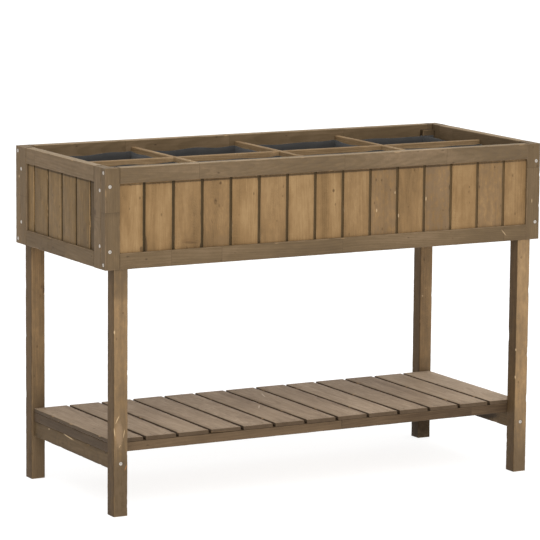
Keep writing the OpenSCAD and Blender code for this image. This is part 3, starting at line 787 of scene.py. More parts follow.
# %% [markdown]
# A frame node arrives as loose triangles, and may hold many solids, as the fifteen boards of a panel
# do. They are told apart by walking from a point to its neighbours until no new ones come. Modelling
# each piece again from a box would lose the grooves, tenons and screw holes, so the frame's own
# shapes are copied.

# %% The solids of a node
MERGED_WITHIN = MM / 1000


def solids(node):
    """The separate solids of a frame node, as points and faces, from left to right and front to rear."""
    mesh = bmesh.new()
    mesh.from_mesh(frame["nodes"][node].data)
    bmesh.ops.remove_doubles(mesh, verts=mesh.verts, dist=MERGED_WITHIN)
    mesh.verts.ensure_lookup_table()
    owner, groups = [-1] * len(mesh.verts), []
    for start in mesh.verts:
        if owner[start.index] >= 0:
            continue
        owner[start.index], reached = len(groups), [start]
        for vert in reached:
            for edge in vert.link_edges:
                other = edge.other_vert(vert)
                if owner[other.index] < 0:
                    owner[other.index] = len(groups)
                    reached.append(other)
        groups.append(sorted(v.index for v in reached))
    found = []
    for number, group in enumerate(groups):
        new = {old: i for i, old in enumerate(group)}
        points = np.array([mesh.verts[i].co for i in group], float)
        faces = [[new[v.index] for v in f.verts] for f in mesh.faces if owner[f.verts[0].index] == number]
        found.append((points, faces))
    mesh.free()
    return sorted(found, key=lambda solid: tuple(np.round(solid[0].mean(0), 4)))


front_boards = solids("front_boards")
print("front boards:", len(front_boards), "solids of", len(front_boards[0][0]), "points")

# %% [markdown]
# To age a piece, points are needed along its edges. Its triangles are merged into whole faces, and it
# is then sawn, on paper, into short lengths and given a narrow border beside each long edge. An even
# grid as fine as the border would do the same with many more points. A piece is worked on lying on
# the bench: X along its grain, Y across and Z through, with its middle at zero.

# %% Pieces on the bench
LENGTH_STEP = 7 * MM
BORDER = 3 * MM
FLAT_WITHIN = math.radians(0.5)
USUAL_TONES = (-0.12, 0.12)
USUAL_GREYS = (0, 0.3)
TINY = 0.02 * MM
X, Y, Z = Vector((1, 0, 0)), Vector((0, 1, 0)), Vector((0, 0, 1))


def basis(along, across):
    """Rows that say where a piece's own X, Y and Z point on the stand."""
    return np.array([along, across, along.cross(across)], float)


def lie_of(points):
    """The lie of a sawn piece: its grain runs along its longest side."""
    order = np.argsort(points.min(0) - points.max(0), kind="stable")
    return basis((X, Y, Z)[order[0]], (X, Y, Z)[order[1]])


class Timber:
    """One sawn piece on the bench, and where it goes on the stand."""

    def __init__(self, name, points, faces, lie=None, face=0):
        self.lie = lie_of(points) if lie is None else lie
        local = points @ self.lie.T
        low, high = local.min(0), local.max(0)
        if face:
            shown = local[np.abs(local[:, 2] - (high if face > 0 else low)[2]) < TINY]
            low[1], high[1] = shown[:, 1].min(), shown[:, 1].max()
        self.middle, self.half = (low + high) / 2, (high - low) / 2
        self.face = face
        self.at, self.faces = local - self.middle, faces
        self.joints = []
        luck = random.Random(name)
        self.seed = luck.random()
        self.tone = luck.uniform(*USUAL_TONES)
        self.grey = luck.uniform(*USUAL_GREYS)

    def place(self):
        return self.middle @ self.lie

    def saw(self, round_over=0.0):
        """Merges the triangles, rounds the shown long edges and cuts the faces for the wear to work on."""
        mesh = bmesh.new()
        verts = [mesh.verts.new(p) for p in self.at]
        for face in self.faces:
            mesh.faces.new([verts[i] for i in face])
        bmesh.ops.dissolve_limit(mesh, angle_limit=FLAT_WITHIN, verts=mesh.verts, edges=mesh.edges)
        if round_over:
            level = self.face * self.half[2]
            edges = [e for e in mesh.edges if all(
                abs(v.co.z - level) < TINY and abs(abs(v.co.y) - self.half[1]) < TINY for v in e.verts)]
            bmesh.ops.bevel(mesh, geom=edges, offset=round_over, segments=2, profile=0.5, affect="EDGES")
        count = max(2, round(2 * self.half[0] / LENGTH_STEP))
        cuts = [(X, -self.half[0] + 2 * self.half[0] * i / count) for i in range(1, count)]
        cuts += [(X, joint) for joint in self.joints]
        for axis, reach in ((Y, self.half[1]), (Z, self.half[2])):
            if reach > 1.5 * BORDER:
                cuts += [(axis, reach - BORDER), (axis, BORDER - reach)]
        for axis, distance in cuts:
            bmesh.ops.bisect_plane(mesh, geom=[*mesh.verts, *mesh.edges, *mesh.faces], dist=TINY / 4,
                                   plane_co=axis * distance, plane_no=axis)
        mesh.verts.index_update()
        self.at = np.array([v.co for v in mesh.verts], float)
        self.faces = [[v.index for v in f.verts] for f in mesh.faces]
        mesh.free()
        return self


print("bench: cuts", round(LENGTH_STEP / MM), "mm apart, borders", round(BORDER / MM), "mm wide")

# %% [markdown]
# A sawn arris never stays sharp: handling rubs it, and now and then a splinter leaves. The wear works
# on the points within a short reach of a long edge, and moves each inwards from both of its faces by
# a little that varies along the edge, with a few deeper chips. A bevel modifier would round every
# edge by the same amount, and a displacement map couldn't tell an edge from a face. Wear takes wood
# away, so a piece stays in its place; only where the noise is lowest does an edge grow, by a hair.

# %% Wear
WEAR_REACH = 2.4 * MM
WEAR_USUAL = 0.25 * MM
CHIP_DEEPEST = 1.5 * MM
CHIP_RARITY = 0.42
CHIP_GROWTH = 5.5 * MM
FRESH_FROM = 0.85 * MM
SLOW_PACE, FAST_PACE = 28, 95
SLOW_SEED, FAST_SEED = 97, 57


def wear(at, half, seed, harder=1.0):
    """How each point of a piece moves along its own three axes, and how fresh the wood there is."""
    gap = half - np.abs(at)
    near = np.sort(gap, axis=1)
    rubbed = (near[:, 0] > -TINY) & (near[:, 1] < WEAR_REACH)
    shift, fresh = np.zeros_like(at), np.zeros(len(at))
    for i in np.nonzero(rubbed)[0]:
        x, y, z = at[i]
        corner = Vector((0, 3 if y > 0 else 0, 7 if z > 0 else 0))
        slow = noise.noise(Vector((x * SLOW_PACE + seed[i] * SLOW_SEED, 0, 0)) + corner)
        fast = noise.noise(Vector((x * FAST_PACE + seed[i] * FAST_SEED, 5, 0)) + corner)
        chip = max(0.0, slow + 0.6 * fast - CHIP_RARITY) * CHIP_GROWTH
        depth = min(WEAR_USUAL * (1 + slow + fast) + chip, CHIP_DEEPEST) * harder
        share = np.clip(1 - gap[i] / WEAR_REACH, 0, 1)
        shift[i] = -np.sign(at[i]) * share * depth
        fresh[i] = np.clip(depth / FRESH_FROM - 1, 0, 1)
    return shift, fresh


print("wear:", WEAR_USUAL / MM, "mm as a rule, and chips of up to", CHIP_DEEPEST / MM, "mm")

# %% [markdown]
# From the bench a piece goes to its place on the stand. Its points take along the values that the
# shader reads, and the new object rides on its body and shows its finish, and the nodes of the frame
# that it stands for are hidden. A texture image could carry the same values, but it would have to be
# laid out again for each piece.

# %% From the bench to the stand


def finished(name, mesh, slot, nodes, sharp=50, finish=None):
    """Gives a mesh its object, shading, finish and body."""
    mesh.shade_smooth()
    mesh.set_sharp_from_angle(angle=math.radians(sharp))
    mesh.materials.clear()
    mesh.materials.append(FINISHES[finish or slot])
    obj = in_scene(name, mesh)
    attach(obj, BODY)
    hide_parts(*nodes)
    return obj


def write(mesh, name, kind, values, domain="POINT"):
    """Stores one value for each point or face of a mesh."""
    layer = mesh.attributes.get(name) or mesh.attributes.new(name, kind, domain)
    field = "vector" if kind == "FLOAT_VECTOR" else "value"
    layer.data.foreach_set(field, np.asarray(values, np.int32 if kind == "INT" else np.float32).ravel())


def read(mesh, name, width):
    values = np.zeros(len(mesh.vertices) * width, np.float32)
    field = "vector" if width == 3 else "value"
    mesh.attributes[name].data.foreach_get(field, values)
    return values.reshape(-1, width).astype(float) if width > 1 else values.astype(float)


def timber_piece(name, timber, slot, nodes, tones=None, finish=None):
    """Puts a sawn timber on the stand, worn. tones are stops of a lighter or darker stain along it."""
    count = len(timber.at)
    shift, fresh = wear(timber.at, timber.half, np.full(count, timber.seed))
    mesh = bpy.data.meshes.new(name)
    mesh.from_pydata((timber.at + shift + timber.middle) @ timber.lie, [], timber.faces)
    write(mesh, "at", "FLOAT_VECTOR", timber.at)
    write(mesh, "half", "FLOAT_VECTOR", np.tile(timber.half, (count, 1)))
    tone = np.full(count, timber.tone)
    if tones:
        stops = sorted((place * MM - timber.middle[0], value) for place, value in tones)
        tone = np.interp(timber.at[:, 0], *zip(*stops))
    for key, values in (("seed", np.full(count, timber.seed)), ("grey", np.full(count, timber.grey)),
                        ("tone", tone), ("fresh", fresh)):
        write(mesh, key, "FLOAT", values)
    if timber.joints:
        joints = np.array(sorted(timber.joints))
        along = np.array([timber.at[face, 0].mean() for face in timber.faces])
        write(mesh, "part", "FLOAT", np.searchsorted(joints, along), "FACE")
        nearest = np.abs(along[:, None] - joints[None, :]).argmin(1)
        write(mesh, "joint", "FLOAT", joints[nearest], "FACE")
    return finished(name, mesh, slot, nodes, finish=finish)


print("tones: between", *USUAL_TONES, "where none is named")

# %% [markdown]
# The rails and stiles are glued up from short lengths, which shows as a thin line and a change of
# grain. Where a glue line or a change of tone is plain to see, its place is given here, in millimetres
# along the stand's own axis. Elsewhere the short lengths are drawn at random, because that is how a
# mill feeds its offcuts into a finger jointer.

# %% Glue lines and tones
PART_LENGTH = (130 * MM, 330 * MM)
GLUE_LINES = {
    "front_bottom_rail": (-392, -269, 33, 455),
    "front_top_rail": (-325, 36, 300),
    "front_stile_1": (664,),
    "left_bottom_rail": (-27, 40),
    "shelf_rail_front": (57, 400),
}
TONES = {
    "front_bottom_rail": ((-470, 0.0), (-320, 0.1), (-160, -0.02), (-60, -0.25), (10, -0.3), (60, -0.12),
                          (130, 0.12), (280, 0.15), (400, -0.12), (500, -0.3)),
    "front_top_rail": ((-490, -0.05), (-400, 0.1), (-340, 0.28), (-200, 0.12), (-120, 0.0), (-60, -0.12),
                       (40, -0.08), (150, 0.2), (260, 0.25), (340, -0.03), (500, -0.18)),
    # Painted shade: the top stops of the rear legs darken them under the box, and the low stops of the rear
    # right leg darken its foot in the shade under the shelf.
    "leg_front_left": ((545, -0.72), (490, -0.65), (468, -0.2), (346, -0.2), (293, -0.4), (240, -0.38),
                       (162, -0.55), (110, -0.95), (84, -1.15), (0, -1.2)),
    "leg_front_right": ((524, -0.1), (470, 0.2), (400, 0.03), (173, -0.1), (92, -0.6), (38, -0.95),
                        (0, -1.1)),
    "leg_rear_left": ((545, -0.4), (480, -0.1), (300, -0.2), (235, -0.4), (150, -1.1), (60, -0.95)),
    "leg_rear_right": ((545, -1.3), (500, -0.3), (300, -0.05), (170, -0.5), (140, -2.4), (0, -2.8)),
    "front_stile_1": ((540, 0.05), (655, 0.0), (665, -0.38), (760, -0.25)),
    "front_stile_2": ((540, -0.08), (760, -0.08)),
    "left_bottom_rail": ((-230, -0.21), (230, -0.21)),
    "shelf_rail_front": ((-500, 0.0), (-250, -0.1), (0, -0.05), (250, -0.35), (500, -0.8)),
}


def glue_lines(name, timber):
    """Where the short lengths of a glued-up piece meet, from its middle."""
    if name in GLUE_LINES:
        return [place * MM - timber.middle[0] for place in GLUE_LINES[name]]
    luck, found = random.Random("glue " + name), []
    place = luck.uniform(*PART_LENGTH) - timber.half[0]
    while place < timber.half[0] - 0.3 * PART_LENGTH[0]:
        found.append(place)
        place += luck.uniform(*PART_LENGTH)
    return found


print("glue lines by hand:", sum(len(places) for places in GLUE_LINES.values()))

# %% [markdown]
# The frame of each panel, the legs, the stretchers, the shelf's frame, the cleats and the dividers are
# sawn pieces, each made from the solid of its own node. They could be one joined mesh, but a piece
# with an object of its own can be picked up, hidden or given another stain.

# %% Legs, rails, stiles and the shelf's frame
GLUED = ("fir_frame", "fir_shelf_frame")
PANELS = ("front", "rear", "left", "right")
PANEL_PARTS = ("top_rail", "bottom_rail", "stile_1", "stile_2")
SHELF_FRAME = ("shelf_rail_front", "shelf_rail_rear", "shelf_batten_left", "shelf_batten_right")
MEMBERS = [(f"leg_{y}_{x}", "leg_wood", None) for y in ("front", "rear") for x in ("left", "right")]
MEMBERS += [(f"{panel}_{part}", "frame_wood", None) for panel in PANELS for part in PANEL_PARTS]
MEMBERS += [(f"stretcher_{x}", "leg_wood", "stretcher") for x in ("left", "right")]
MEMBERS += [(name, "shelf_wood", "shelf_frame") for name in SHELF_FRAME]
MEMBERS += [(f"cleat_{y}", "inner_wood", None) for y in ("front", "rear")]
MEMBERS += [(f"divider_{k}", "inner_wood", None) for k in ("long", "cross_1", "cross_2", "cross_3")]

members = {}
for name, slot, finish in MEMBERS:
    (points, faces), = solids(name)
    timber = Timber(name, points, faces)
    if FINISHES[finish or slot].name in GLUED:
        timber.joints = glue_lines(name, timber)
    members[name] = timber_piece("wood_" + name, timber.saw(), slot, [name], TONES.get(name), finish)
print("members:", len(members), "with", sum(len(o.data.polygons) for o in members.values()), "faces")

# %% [markdown]
# Boards and slats repeat: fifteen boards in each long panel, six in each end panel, thirteen shelf
# slats, twelve floor boards. Only three shapes occur in a row: the first piece, the last, and the one
# that all the others share. A Geometry Nodes tree stands one of the three on each point of a row.
# The points carry what differs from board to board, and `at` is stored on the pattern piece before it
# is repeated, so that every copy still knows its own grain. Copying in a Python loop would give the
# same boards, but a tree can be reused for the next row by changing its inputs.

# %% A row of boards


def new_tree(name, inputs):
    """The start of a tree: the recipe for its nodes, and what it is given."""
    tree = bpy.data.node_groups.new(name, "GeometryNodeTree")
    for label, kind in {"Places": "Geometry", **inputs, "Finish": "Material"}.items():
        tree.interface.new_socket(label, in_out="INPUT", socket_type="NodeSocket" + kind)
    tree.interface.new_socket("Copies", in_out="OUTPUT", socket_type="NodeSocketGeometry")
    return Recipe(tree), tree.nodes.new("NodeGroupInput").outputs


def with_copies(r, given, instances):
    """The end of a tree: copies stand on the places, become real and take their finish."""
    made = r.add("GeometryNodeInstanceOnPoints", named={"Points": given["Places"], **instances})
    made = r.add("GeometryNodeRealizeInstances", made)
    made = r.add("GeometryNodeSetMaterial", named={"Geometry": made, "Material": given["Finish"]})
    r.tree.links.new(made, r.tree.nodes.new("NodeGroupOutput").inputs[0])
    return r.tree


def row_tree():
    r, given = new_tree("row_of_boards", {"Patterns": "Collection", "Turn": "Vector"})
    patterns = r.add("GeometryNodeCollectionInfo", given["Patterns"], True, True)
    kind = r.add("GeometryNodeInputNamedAttribute", "kind", data_type="INT")
    turn = r.add("FunctionNodeEulerToRotation", given["Turn"])
    return with_copies(r, given, {"Instance": patterns, "Pick Instance": True, "Instance Index": kind,
                                  "Rotation": turn})


def pattern_mesh(timber, name):
    mesh = bpy.data.meshes.new(name)
    mesh.from_pydata(timber.at, [], timber.faces)
    write(mesh, "at", "FLOAT_VECTOR", timber.at)
    return mesh


def with_tree(name, mesh, tree, inputs):
    """Runs a tree on a mesh of points and returns the plain mesh that it makes."""
    host = in_scene(name, mesh)
    modifier = host.modifiers.new("row", "NODES")
    modifier.node_group = tree
    for socket in tree.interface.items_tree:
        if socket.name in inputs:
            modifier[socket.identifier] = inputs[socket.name]
    bpy.context.view_layer.update()
    depsgraph = bpy.context.evaluated_depsgraph_get()
    made = bpy.data.meshes.new_from_object(host.evaluated_get(depsgraph))
    made.name = name
    host.modifiers.remove(modifier)
    bpy.data.objects.remove(host)
    return made


ROW = row_tree()
print("row tree:", len(ROW.nodes), "nodes")

# %% [markdown]
# The row itself takes its boards from the frame: each is put on the bench, and its middle becomes a
# point of the row. Wear comes after the copies are real, so that no two boards are chipped alike. A
# board's tone may also deepen towards its foot, where water runs down and stays.

# %% Boards in their places
FOOT_START = 0.2


def board_row(name, nodes, lie, slot, face=0, round_over=0.0, harder=1.0,
              tones=None, greys=None, feet=None):
    """A row of boards or slats in the places of the frame's own ones."""
    found = sorted((s for node in nodes for s in solids(node)),
                   key=lambda s: float(s[0].mean(0) @ lie[1]))
    timbers = [Timber(f"{name} {i}", p, f, lie, face) for i, (p, f) in enumerate(found)]
    last = len(timbers) - 1
    kinds = [0 if i == 0 else 2 if i == last else 1 for i in range(last + 1)]
    patterns = bpy.data.collections.new("patterns_" + name)
    for number, index in enumerate((0, last // 2, last)):
        pattern = timbers[index].saw(round_over=round_over)
        label = f"pattern_{number}"
        patterns.objects.link(bpy.data.objects.new(label, pattern_mesh(pattern, label)))
    for i, timber in enumerate(timbers):
        timber.tone = tones[i] if tones else timber.tone
        timber.grey = greys[i] if greys else timber.grey

    points = bpy.data.meshes.new("places")
    points.from_pydata([t.place() for t in timbers], [], [])
    write(points, "kind", "INT", kinds)
    write(points, "half", "FLOAT_VECTOR", [t.half for t in timbers])
    write(points, "number", "FLOAT", range(len(timbers)))
    for key in ("seed", "tone", "grey"):
        write(points, key, "FLOAT", [getattr(t, key) for t in timbers])
    turn = Matrix(lie).transposed().to_euler()
    mesh = with_tree(name, points, ROW, {"Patterns": patterns, "Turn": turn, "Finish": FINISHES[slot]})

    at, half, seed = read(mesh, "at", 3), read(mesh, "half", 3), read(mesh, "seed", 1)
    place = np.zeros(len(at) * 3, np.float32)
    mesh.vertices.foreach_get("co", place)
    shift, fresh = wear(at, half, seed, harder)
    place = place.reshape(-1, 3) + shift @ lie
    mesh.vertices.foreach_set("co", place.astype(np.float32).ravel())
    write(mesh, "fresh", "FLOAT", fresh)
    if feet:
        foot = np.array(feet)[np.rint(read(mesh, "number", 1)).astype(int)]
        low = np.clip(-FOOT_START - at[:, 0] / half[:, 0], 0, 1 - FOOT_START) / (1 - FOOT_START)
        write(mesh, "tone", "FLOAT", read(mesh, "tone", 1) + foot * low)
    mesh.update()
    for pattern in list(patterns.objects):
        bpy.data.objects.remove(pattern)
    bpy.data.collections.remove(patterns)
    print(name, len(timbers), "boards,", len(mesh.polygons), "faces")
    return finished(name, mesh, slot, nodes)


# %% [markdown]
# The fifteen boards of the front came from different planks: some golden, one or two greyer and more
# mottled, and the stain took each a little differently. A fully random tone would put the light and
# dark boards in the wrong places, so the tone of each front board is named here.

# %% Panel boards, shelf slats and floor boards
FRONT_TONES = [0.08, 0.04, 0.0, -0.05, 0.18, 0.14, 0.32, 0.0, 0.08, -0.15, -0.2, -0.3, 0.12, -0.1, 0.0]
FRONT_GREYS = [0, 0, 0.1, 0.15, 0, 0.1, 0, 0, 0.1, 0.4, 0.1, 0.6, 0, 0.4, 0.1]
FRONT_FEET = [0, -0.5, -0.35, -0.5, -0.5, -0.4, -0.5, 0, 0, -0.1, 0, 0, 0, 0, 0]
# The last end board, beside the front stile, is darker: partly its own tone and partly painted shade from
# the stile.
END_TONES = [0.15, -0.12, 0.12, 0.0, -0.15, -1.3]
SLAT_TONES = [0.0, -0.05, 0.05, -0.05, 0.15, -0.05, -0.05, -0.15, 0.35, -0.05, -0.2, 0.1, 0.5]
UP_RIGHT = basis(Z, X)
UP_LEFT = basis(Z, -X)
UP_BACK = basis(Z, Y)
UP_FRONT = basis(Z, -Y)
BACK_RIGHT = basis(Y, X)

BOARD_EDGE = {"face": -1, "round_over": 0.8 * MM, "harder": 1.6}
SLATS = [f"shelf_slat_{i}" for i in range(1, 14)]

board_row("boards_front", ["front_boards"], UP_RIGHT, "board_wood",
          tones=FRONT_TONES, greys=FRONT_GREYS, feet=FRONT_FEET, **BOARD_EDGE)
board_row("boards_rear", ["rear_boards"], UP_LEFT, "board_wood", **BOARD_EDGE)
board_row("boards_left", ["left_boards"], UP_FRONT, "end_board_wood", tones=END_TONES, **BOARD_EDGE)
board_row("boards_right", ["right_boards"], UP_BACK, "end_board_wood", **BOARD_EDGE)
board_row("shelf_slats", SLATS, BACK_RIGHT, "shelf_wood", tones=SLAT_TONES, harder=1.3)
board_row("box_floor", ["floor_boards"], BACK_RIGHT, "inner_wood")

# %% [markdown]
# Screws and nails repeat too, in eight groups, and each group needs one pattern. It is turned on a
# lathe from its outline, and a cross recess is cut into a screw's head. A picture of a recess would
# do from afar, but from near by it would look flat, because light doesn't fall into it.

# %% Patterns of screws and nails
SCREW_SIDES = 24
NAIL_SIDES = 12
SHANK_SHARE = 0.44
ROOT_SHARE = 0.36
RIM_SHARE = 0.06
THREAD_FROM, THREAD_TO, THREAD_REACH = 0.42, 0.94, 0.5
THREAD_PITCH = 0.5
RECESS_REACH, RECESS_HALF_WIDE, RECESS_DEEP = 0.5, 0.11, 0.4
RECESS_FLOOR = 0.55
ABOVE_HEAD = 0.2 * MM


def lathe(outline, sides=SCREW_SIDES):
    """A closed solid turned round Z from points (radius, height), from the axis to the axis."""
    mesh = bmesh.new()
    rings = []
    for radius, height in outline:
        if radius == 0:
            rings.append([mesh.verts.new((0, 0, height))])
        else:
            turns = [2 * math.pi * i / sides for i in range(sides)]
            circle = [(radius * math.cos(t), radius * math.sin(t), height) for t in turns]
            rings.append([mesh.verts.new(point) for point in circle])
    for low, high in zip(rings, rings[1:]):
        for i in range(sides):
            near = [low[i % len(low)], low[(i + 1) % len(low)]]
            far = [high[(i + 1) % len(high)], high[i % len(high)]]
            mesh.faces.new(list(dict.fromkeys(near + far)))
    bmesh.ops.recalc_face_normals(mesh, faces=mesh.faces)
    return mesh


def as_mesh(shape, name):
    """Turns an edited shape into a mesh, and lets the shape go."""
    mesh = bpy.data.meshes.new(name)
    shape.to_mesh(mesh)
    shape.free()
    return mesh


def screw_pattern(length, head_r):
    """A countersunk wood screw, its head's top at Z = 0 and its point down the Z axis."""
    shank_r, root_r = SHANK_SHARE * head_r, ROOT_SHARE * head_r
    rim = RIM_SHARE * head_r
    outline = [(0, 0), (head_r - 2 * rim, 0), (head_r - rim, 0.4 * rim), (head_r, 1.5 * rim),
               (head_r, 3 * rim), (shank_r, 3 * rim + head_r - shank_r), (shank_r, 0.4 * length)]
    turns = int(THREAD_REACH * length / (THREAD_PITCH * head_r))
    for i in range(turns):
        z = length * (THREAD_FROM + THREAD_REACH * i / turns)
        outline += [(root_r, z), (root_r, z + 0.12 * head_r), (shank_r, z + 0.25 * head_r)]
    outline += [(root_r, THREAD_TO * length), (0, length)]
    screw = as_mesh(lathe(outline), "screw_pattern")
    return recessed(screw, RECESS_REACH * head_r, RECESS_HALF_WIDE * head_r, RECESS_DEEP * head_r)


def recessed(mesh, reach, half_wide, deep):
    """Cuts a cross recess, narrower at its floor, into the top of a head."""
    cutter = bmesh.new()
    for turn in (0, 90):
        ring = []
        for z, share in ((-ABOVE_HEAD, 1.0), (deep, RECESS_FLOOR)):
            ring.append([cutter.verts.new(p) for p in (
                (-reach * share, -half_wide, z), (reach * share, -half_wide, z),
                (reach * share, half_wide, z), (-reach * share, half_wide, z))])
            if turn:
                for v in ring[-1]:
                    v.co.x, v.co.y = v.co.y, -v.co.x
        low, high = ring
        cutter.faces.new(low[::-1])
        cutter.faces.new(high)
        for i in range(4):
            cutter.faces.new([low[i], low[(i + 1) % 4], high[(i + 1) % 4], high[i]])
    bmesh.ops.recalc_face_normals(cutter, faces=cutter.faces)
    tool, blank = in_scene("cross", as_mesh(cutter, "cross")), in_scene("blank", mesh)
    cut = blank.modifiers.new("cut", "BOOLEAN")
    cut.operation, cut.solver, cut.object, cut.use_self = "DIFFERENCE", "EXACT", tool, True
    bpy.context.view_layer.update()
    made = bpy.data.meshes.new_from_object(blank.evaluated_get(bpy.context.evaluated_depsgraph_get()))
    for obj in (tool, blank):
        bpy.data.objects.remove(obj)
    return made


def nail_pattern(length, head_r):
    """A round nail with a slightly domed head and a pointed end."""
    shank_r = 0.5 * head_r
    outline = [(0, 0), (0.6 * head_r, 0.05 * head_r), (head_r, 0.3 * head_r), (head_r, 0.5 * head_r),
               (shank_r, 0.55 * head_r), (shank_r, length - 4 * shank_r), (0, length)]
    return as_mesh(lathe(outline, NAIL_SIDES), "nail_pattern")


print("sides: a screw has", SCREW_SIDES, "and a nail", NAIL_SIDES)

# %% [markdown]
# One tree serves all eight groups. It stands a group's pattern on each of its points, turns it to the
# way its point says, spins it by a random amount as a driver leaves it, and makes the copies real.
# Its start and its end are those of the boards' tree, so they are only called again.

# %% One tree for every fastener


def fastener_tree():
    r, given = new_tree("fasteners", {"Pattern": "Object", "Seed": "Int"})
    pattern = r.add("GeometryNodeObjectInfo", given["Pattern"], out="Geometry")
    way = r.add("GeometryNodeInputNamedAttribute", "way", data_type="FLOAT_VECTOR")
    aimed = r.add("FunctionNodeAlignRotationToVector", named={"Vector": way}, axis="Z")
    spin = r.add("FunctionNodeRandomValue", named={2: 0.0, 3: math.tau, "Seed": given["Seed"]},
                 out=1, data_type="FLOAT")
    spin = r.add("FunctionNodeEulerToRotation", r.joined(0.0, 0.0, spin))
    turned = r.add("FunctionNodeRotateRotation", aimed, spin, rotation_space="LOCAL")
    return with_copies(r, given, {"Instance": pattern, "Rotation": turned})


FASTENERS = fastener_tree()
print("fastener tree:", len(FASTENERS.nodes), "nodes")

# %% [markdown]
# A group of fasteners takes its places, lengths and heads from its frame node. The pattern could be
# modelled once and scaled, but then its thread and recess would be stretched, so each group's pattern
# is turned to its own length.

# %% The eight groups
GROUPS = ("rail_screws", "face_screws", "corner_screws", "leg_screws", "cleat_screws", "shelf_screws",
          "shelf_nails", "floor_nails")


def fastener_facts(node):
    """The top of the head, the way it points, the length and the head's radius of each fastener."""
    facts = []
    for points, _ in solids(node):
        low, high = points.min(0), points.max(0)
        axis = int(np.argmax(high - low))
        off = np.linalg.norm(np.delete(points - (low + high) / 2, axis, 1), axis=1)
        head_end = 1 if points[off.argmax()][axis] > (low + high)[axis] / 2 else -1
        head = (low + high) / 2
        head[axis] = high[axis] if head_end > 0 else low[axis]
        way = np.zeros(3)
        way[axis] = -head_end
        facts.append((head, way, high[axis] - low[axis], off.max()))
    return facts


for seed, group in enumerate(GROUPS):
    facts = fastener_facts(group)
    _, _, length, head_r = facts[0]
    shape = nail_pattern if group.endswith("nails") else screw_pattern
    model = shape(length, head_r)
    write(model, "rim", "FLOAT", [math.hypot(v.co.x, v.co.y) / head_r for v in model.vertices])
    pattern = bpy.data.objects.new("pattern", model)
    points = bpy.data.meshes.new("places")
    points.from_pydata([f[0] for f in facts], [], [])
    write(points, "way", "FLOAT_VECTOR", [f[1] for f in facts])
    inputs = {"Pattern": pattern, "Seed": seed, "Finish": FINISHES["zinc"]}
    mesh = with_tree(group, points, FASTENERS, inputs)
    bpy.data.objects.remove(pattern)
    finished("zinc_" + group, mesh, "zinc", [group], sharp=35)
    print(group, len(facts), "of", round(length / MM, 1), "mm,", len(mesh.polygons), "faces")

# %% [markdown]
# Each of the eight pockets holds a felt bag, whose plan is the frame's own. It is a rectangle, but
# where a leg stands in the pocket it steps round the leg. Felt can't turn so sharply, so the corners
# are rounded with a few points each. Rounding the finished bag by a modifier would also round its rim
# and its floor. Each point of the line keeps how near a corner it is, where felt holds its shape.

# %% The plan of a pocket
LINER_SPACING = 9 * MM
ROUND_STEPS = 6
HELD_REACH = 45 * MM


def pocket_outline(points):
    """The corners of a liner's plan, in order round it, from the frame's solid."""
    low = points[:, 2].min()
    flat = np.unique(np.round(points[np.abs(points[:, 2] - low) < TINY][:, :2], 6), axis=0)
    xs, ys = np.unique(flat[:, 0]), np.unique(flat[:, 1])
    box = [(xs[0], ys[0]), (xs[-1], ys[0]), (xs[-1], ys[-1]), (xs[0], ys[-1])]
    corners = []
    for i, corner in enumerate(box):
        if np.min(np.linalg.norm(flat - corner, axis=1)) < TINY:
            corners.append(corner)
        else:
            inner = (xs[1] if i in (0, 3) else xs[-2], ys[1] if i in (0, 1) else ys[-2])
            side, end = (corner[0], inner[1]), (inner[0], corner[1])
            corners += [side, inner, end] if i in (1, 3) else [end, inner, side]
    order = corners if turns_left(corners) else corners[::-1]
    return [Vector(c) for c in order]


def turns_left(corners):
    """Whether a plan's corners run round it to the left."""
    return sum(a[0] * b[1] - a[1] * b[0] for a, b in zip(corners, corners[1:] + corners[:1])) > 0


def rounded(corners, radius):
    """Points round a plan whose corners are rounded, and how near each is to a corner."""
    line, held = [], []
    count = len(corners)
    for i, corner in enumerate(corners):
        before, after = corners[i - 1], corners[(i + 1) % count]
        into, away = (corner - before).normalized(), (after - corner).normalized()
        for k in range(ROUND_STEPS + 1):
            t = k / ROUND_STEPS
            a, b = corner - into * radius * (1 - t), corner + away * radius * t
            line.append(a.lerp(b, t))
            held.append(1.0)
        start, end = corner + away * radius, after - away * radius
        steps = max(1, round((end - start).length / LINER_SPACING))
        for k in range(1, steps):
            line.append(start.lerp(end, k / steps))
            reach = min(k, steps - k) * LINER_SPACING
            held.append(max(0.0, 1 - reach / HELD_REACH) ** 2)
    return line, held


print("plan: a point every", round(LINER_SPACING / MM), "mm")

# %% [markdown]
# A bag is sewn from one rectangle: the floor of the pocket with the four walls folded up. Felt doesn't
# stand like a board: its walls lean in a little between the corners, and its top edge wanders. A cloth
# simulation would need a filling to hold the bag open, so the wall is lofted instead, ring by ring
# from the plan, drawn in by a smooth sag, and given its thickness at the end.

# %% Pocket liners
LINER_THICK = 1.0 * MM
LINER_ROUND = 7 * MM
LINER_SAG = 5 * MM
LINER_RINGS = 14
SAG_PACE = 9
SAG_RISE = 2.5
RIM_PACE = 14
RIM_WANDER = 4 * MM
RIM_BELOW = 0.2
LINER_SEED = 13
RIM_SEED = 7


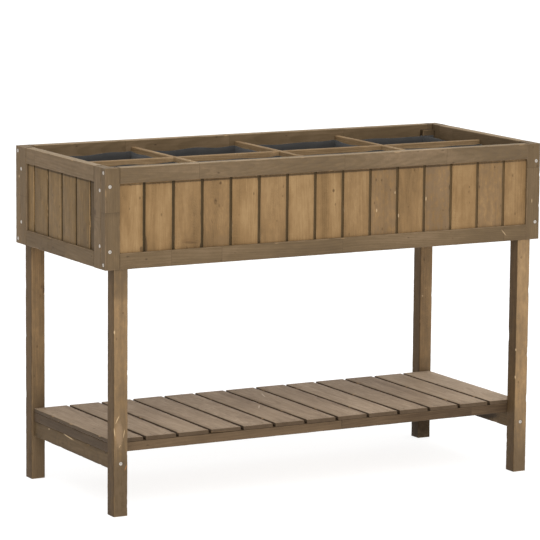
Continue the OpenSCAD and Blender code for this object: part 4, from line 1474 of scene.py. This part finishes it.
def liner(number, points):
    """One felt bag: its wall, floor and thickness, and what it measures when it lies flat."""
    corners = pocket_outline(points)
    low, high = points[:, 2].min(), points[:, 2].max()
    inset = 0.5 * LINER_THICK
    line, held = rounded(corners, LINER_ROUND)
    count = len(line)
    tangents = [(line[(i + 1) % count] - line[i - 1]).normalized() for i in range(count)]
    mesh = bmesh.new()
    rings = []
    for k in range(LINER_RINGS + 1):
        share = k / LINER_RINGS
        ring = []
        for i, (p, hold) in enumerate(zip(line, held)):
            inward = Vector((-tangents[i].y, tangents[i].x))
            spot = Vector((p.x * SAG_PACE, p.y * SAG_PACE, share * SAG_RISE + number * LINER_SEED))
            sag = (0.5 + noise.noise(spot)) * math.sin(math.pi * min(1, 0.15 + share)) ** 0.5
            lean = inset + (1 - hold) * LINER_SAG * max(0.0, sag) * (0.4 + 0.6 * share)
            wander = 0.5 + noise.noise(Vector((p.x * RIM_PACE, p.y * RIM_PACE, number * RIM_SEED)))
            top = high - wander * RIM_WANDER * (1 - hold)
            z = low + inset + (top - RIM_BELOW * MM - low - inset) * share
            ring.append(mesh.verts.new((p.x + inward.x * lean, p.y + inward.y * lean, z)))
        rings.append(ring)
    for lower, upper in zip(rings, rings[1:]):
        for i in range(count):
            mesh.faces.new((lower[i], lower[(i + 1) % count], upper[(i + 1) % count], upper[i]))
    mesh.faces.new(rings[0][::-1])
    bmesh.ops.triangulate(mesh, faces=[f for f in mesh.faces if len(f.verts) > 4])
    area = sum(f.calc_area() for f in mesh.faces)
    name = f"liner_{number}"
    obj = finished(name, as_mesh(mesh, name), "liner", ["pocket_liners"], sharp=60)
    thick = obj.modifiers.new("felt", "SOLIDIFY")
    thick.thickness, thick.offset = LINER_THICK * 0.9, 0.0
    width, depth = np.ptp(points[:, 0]), np.ptp(points[:, 1])
    wall = high - low
    flat = (width + 2 * wall, depth + 2 * wall)
    return flat, area


for number, (points, _) in enumerate(solids("pocket_liners"), 1):
    flat, area = liner(number, points)
    print(f"liner {number}: cut {flat[0]:.3f} by {flat[1]:.3f} m, {area:.3f} square metres")

# %% [markdown]
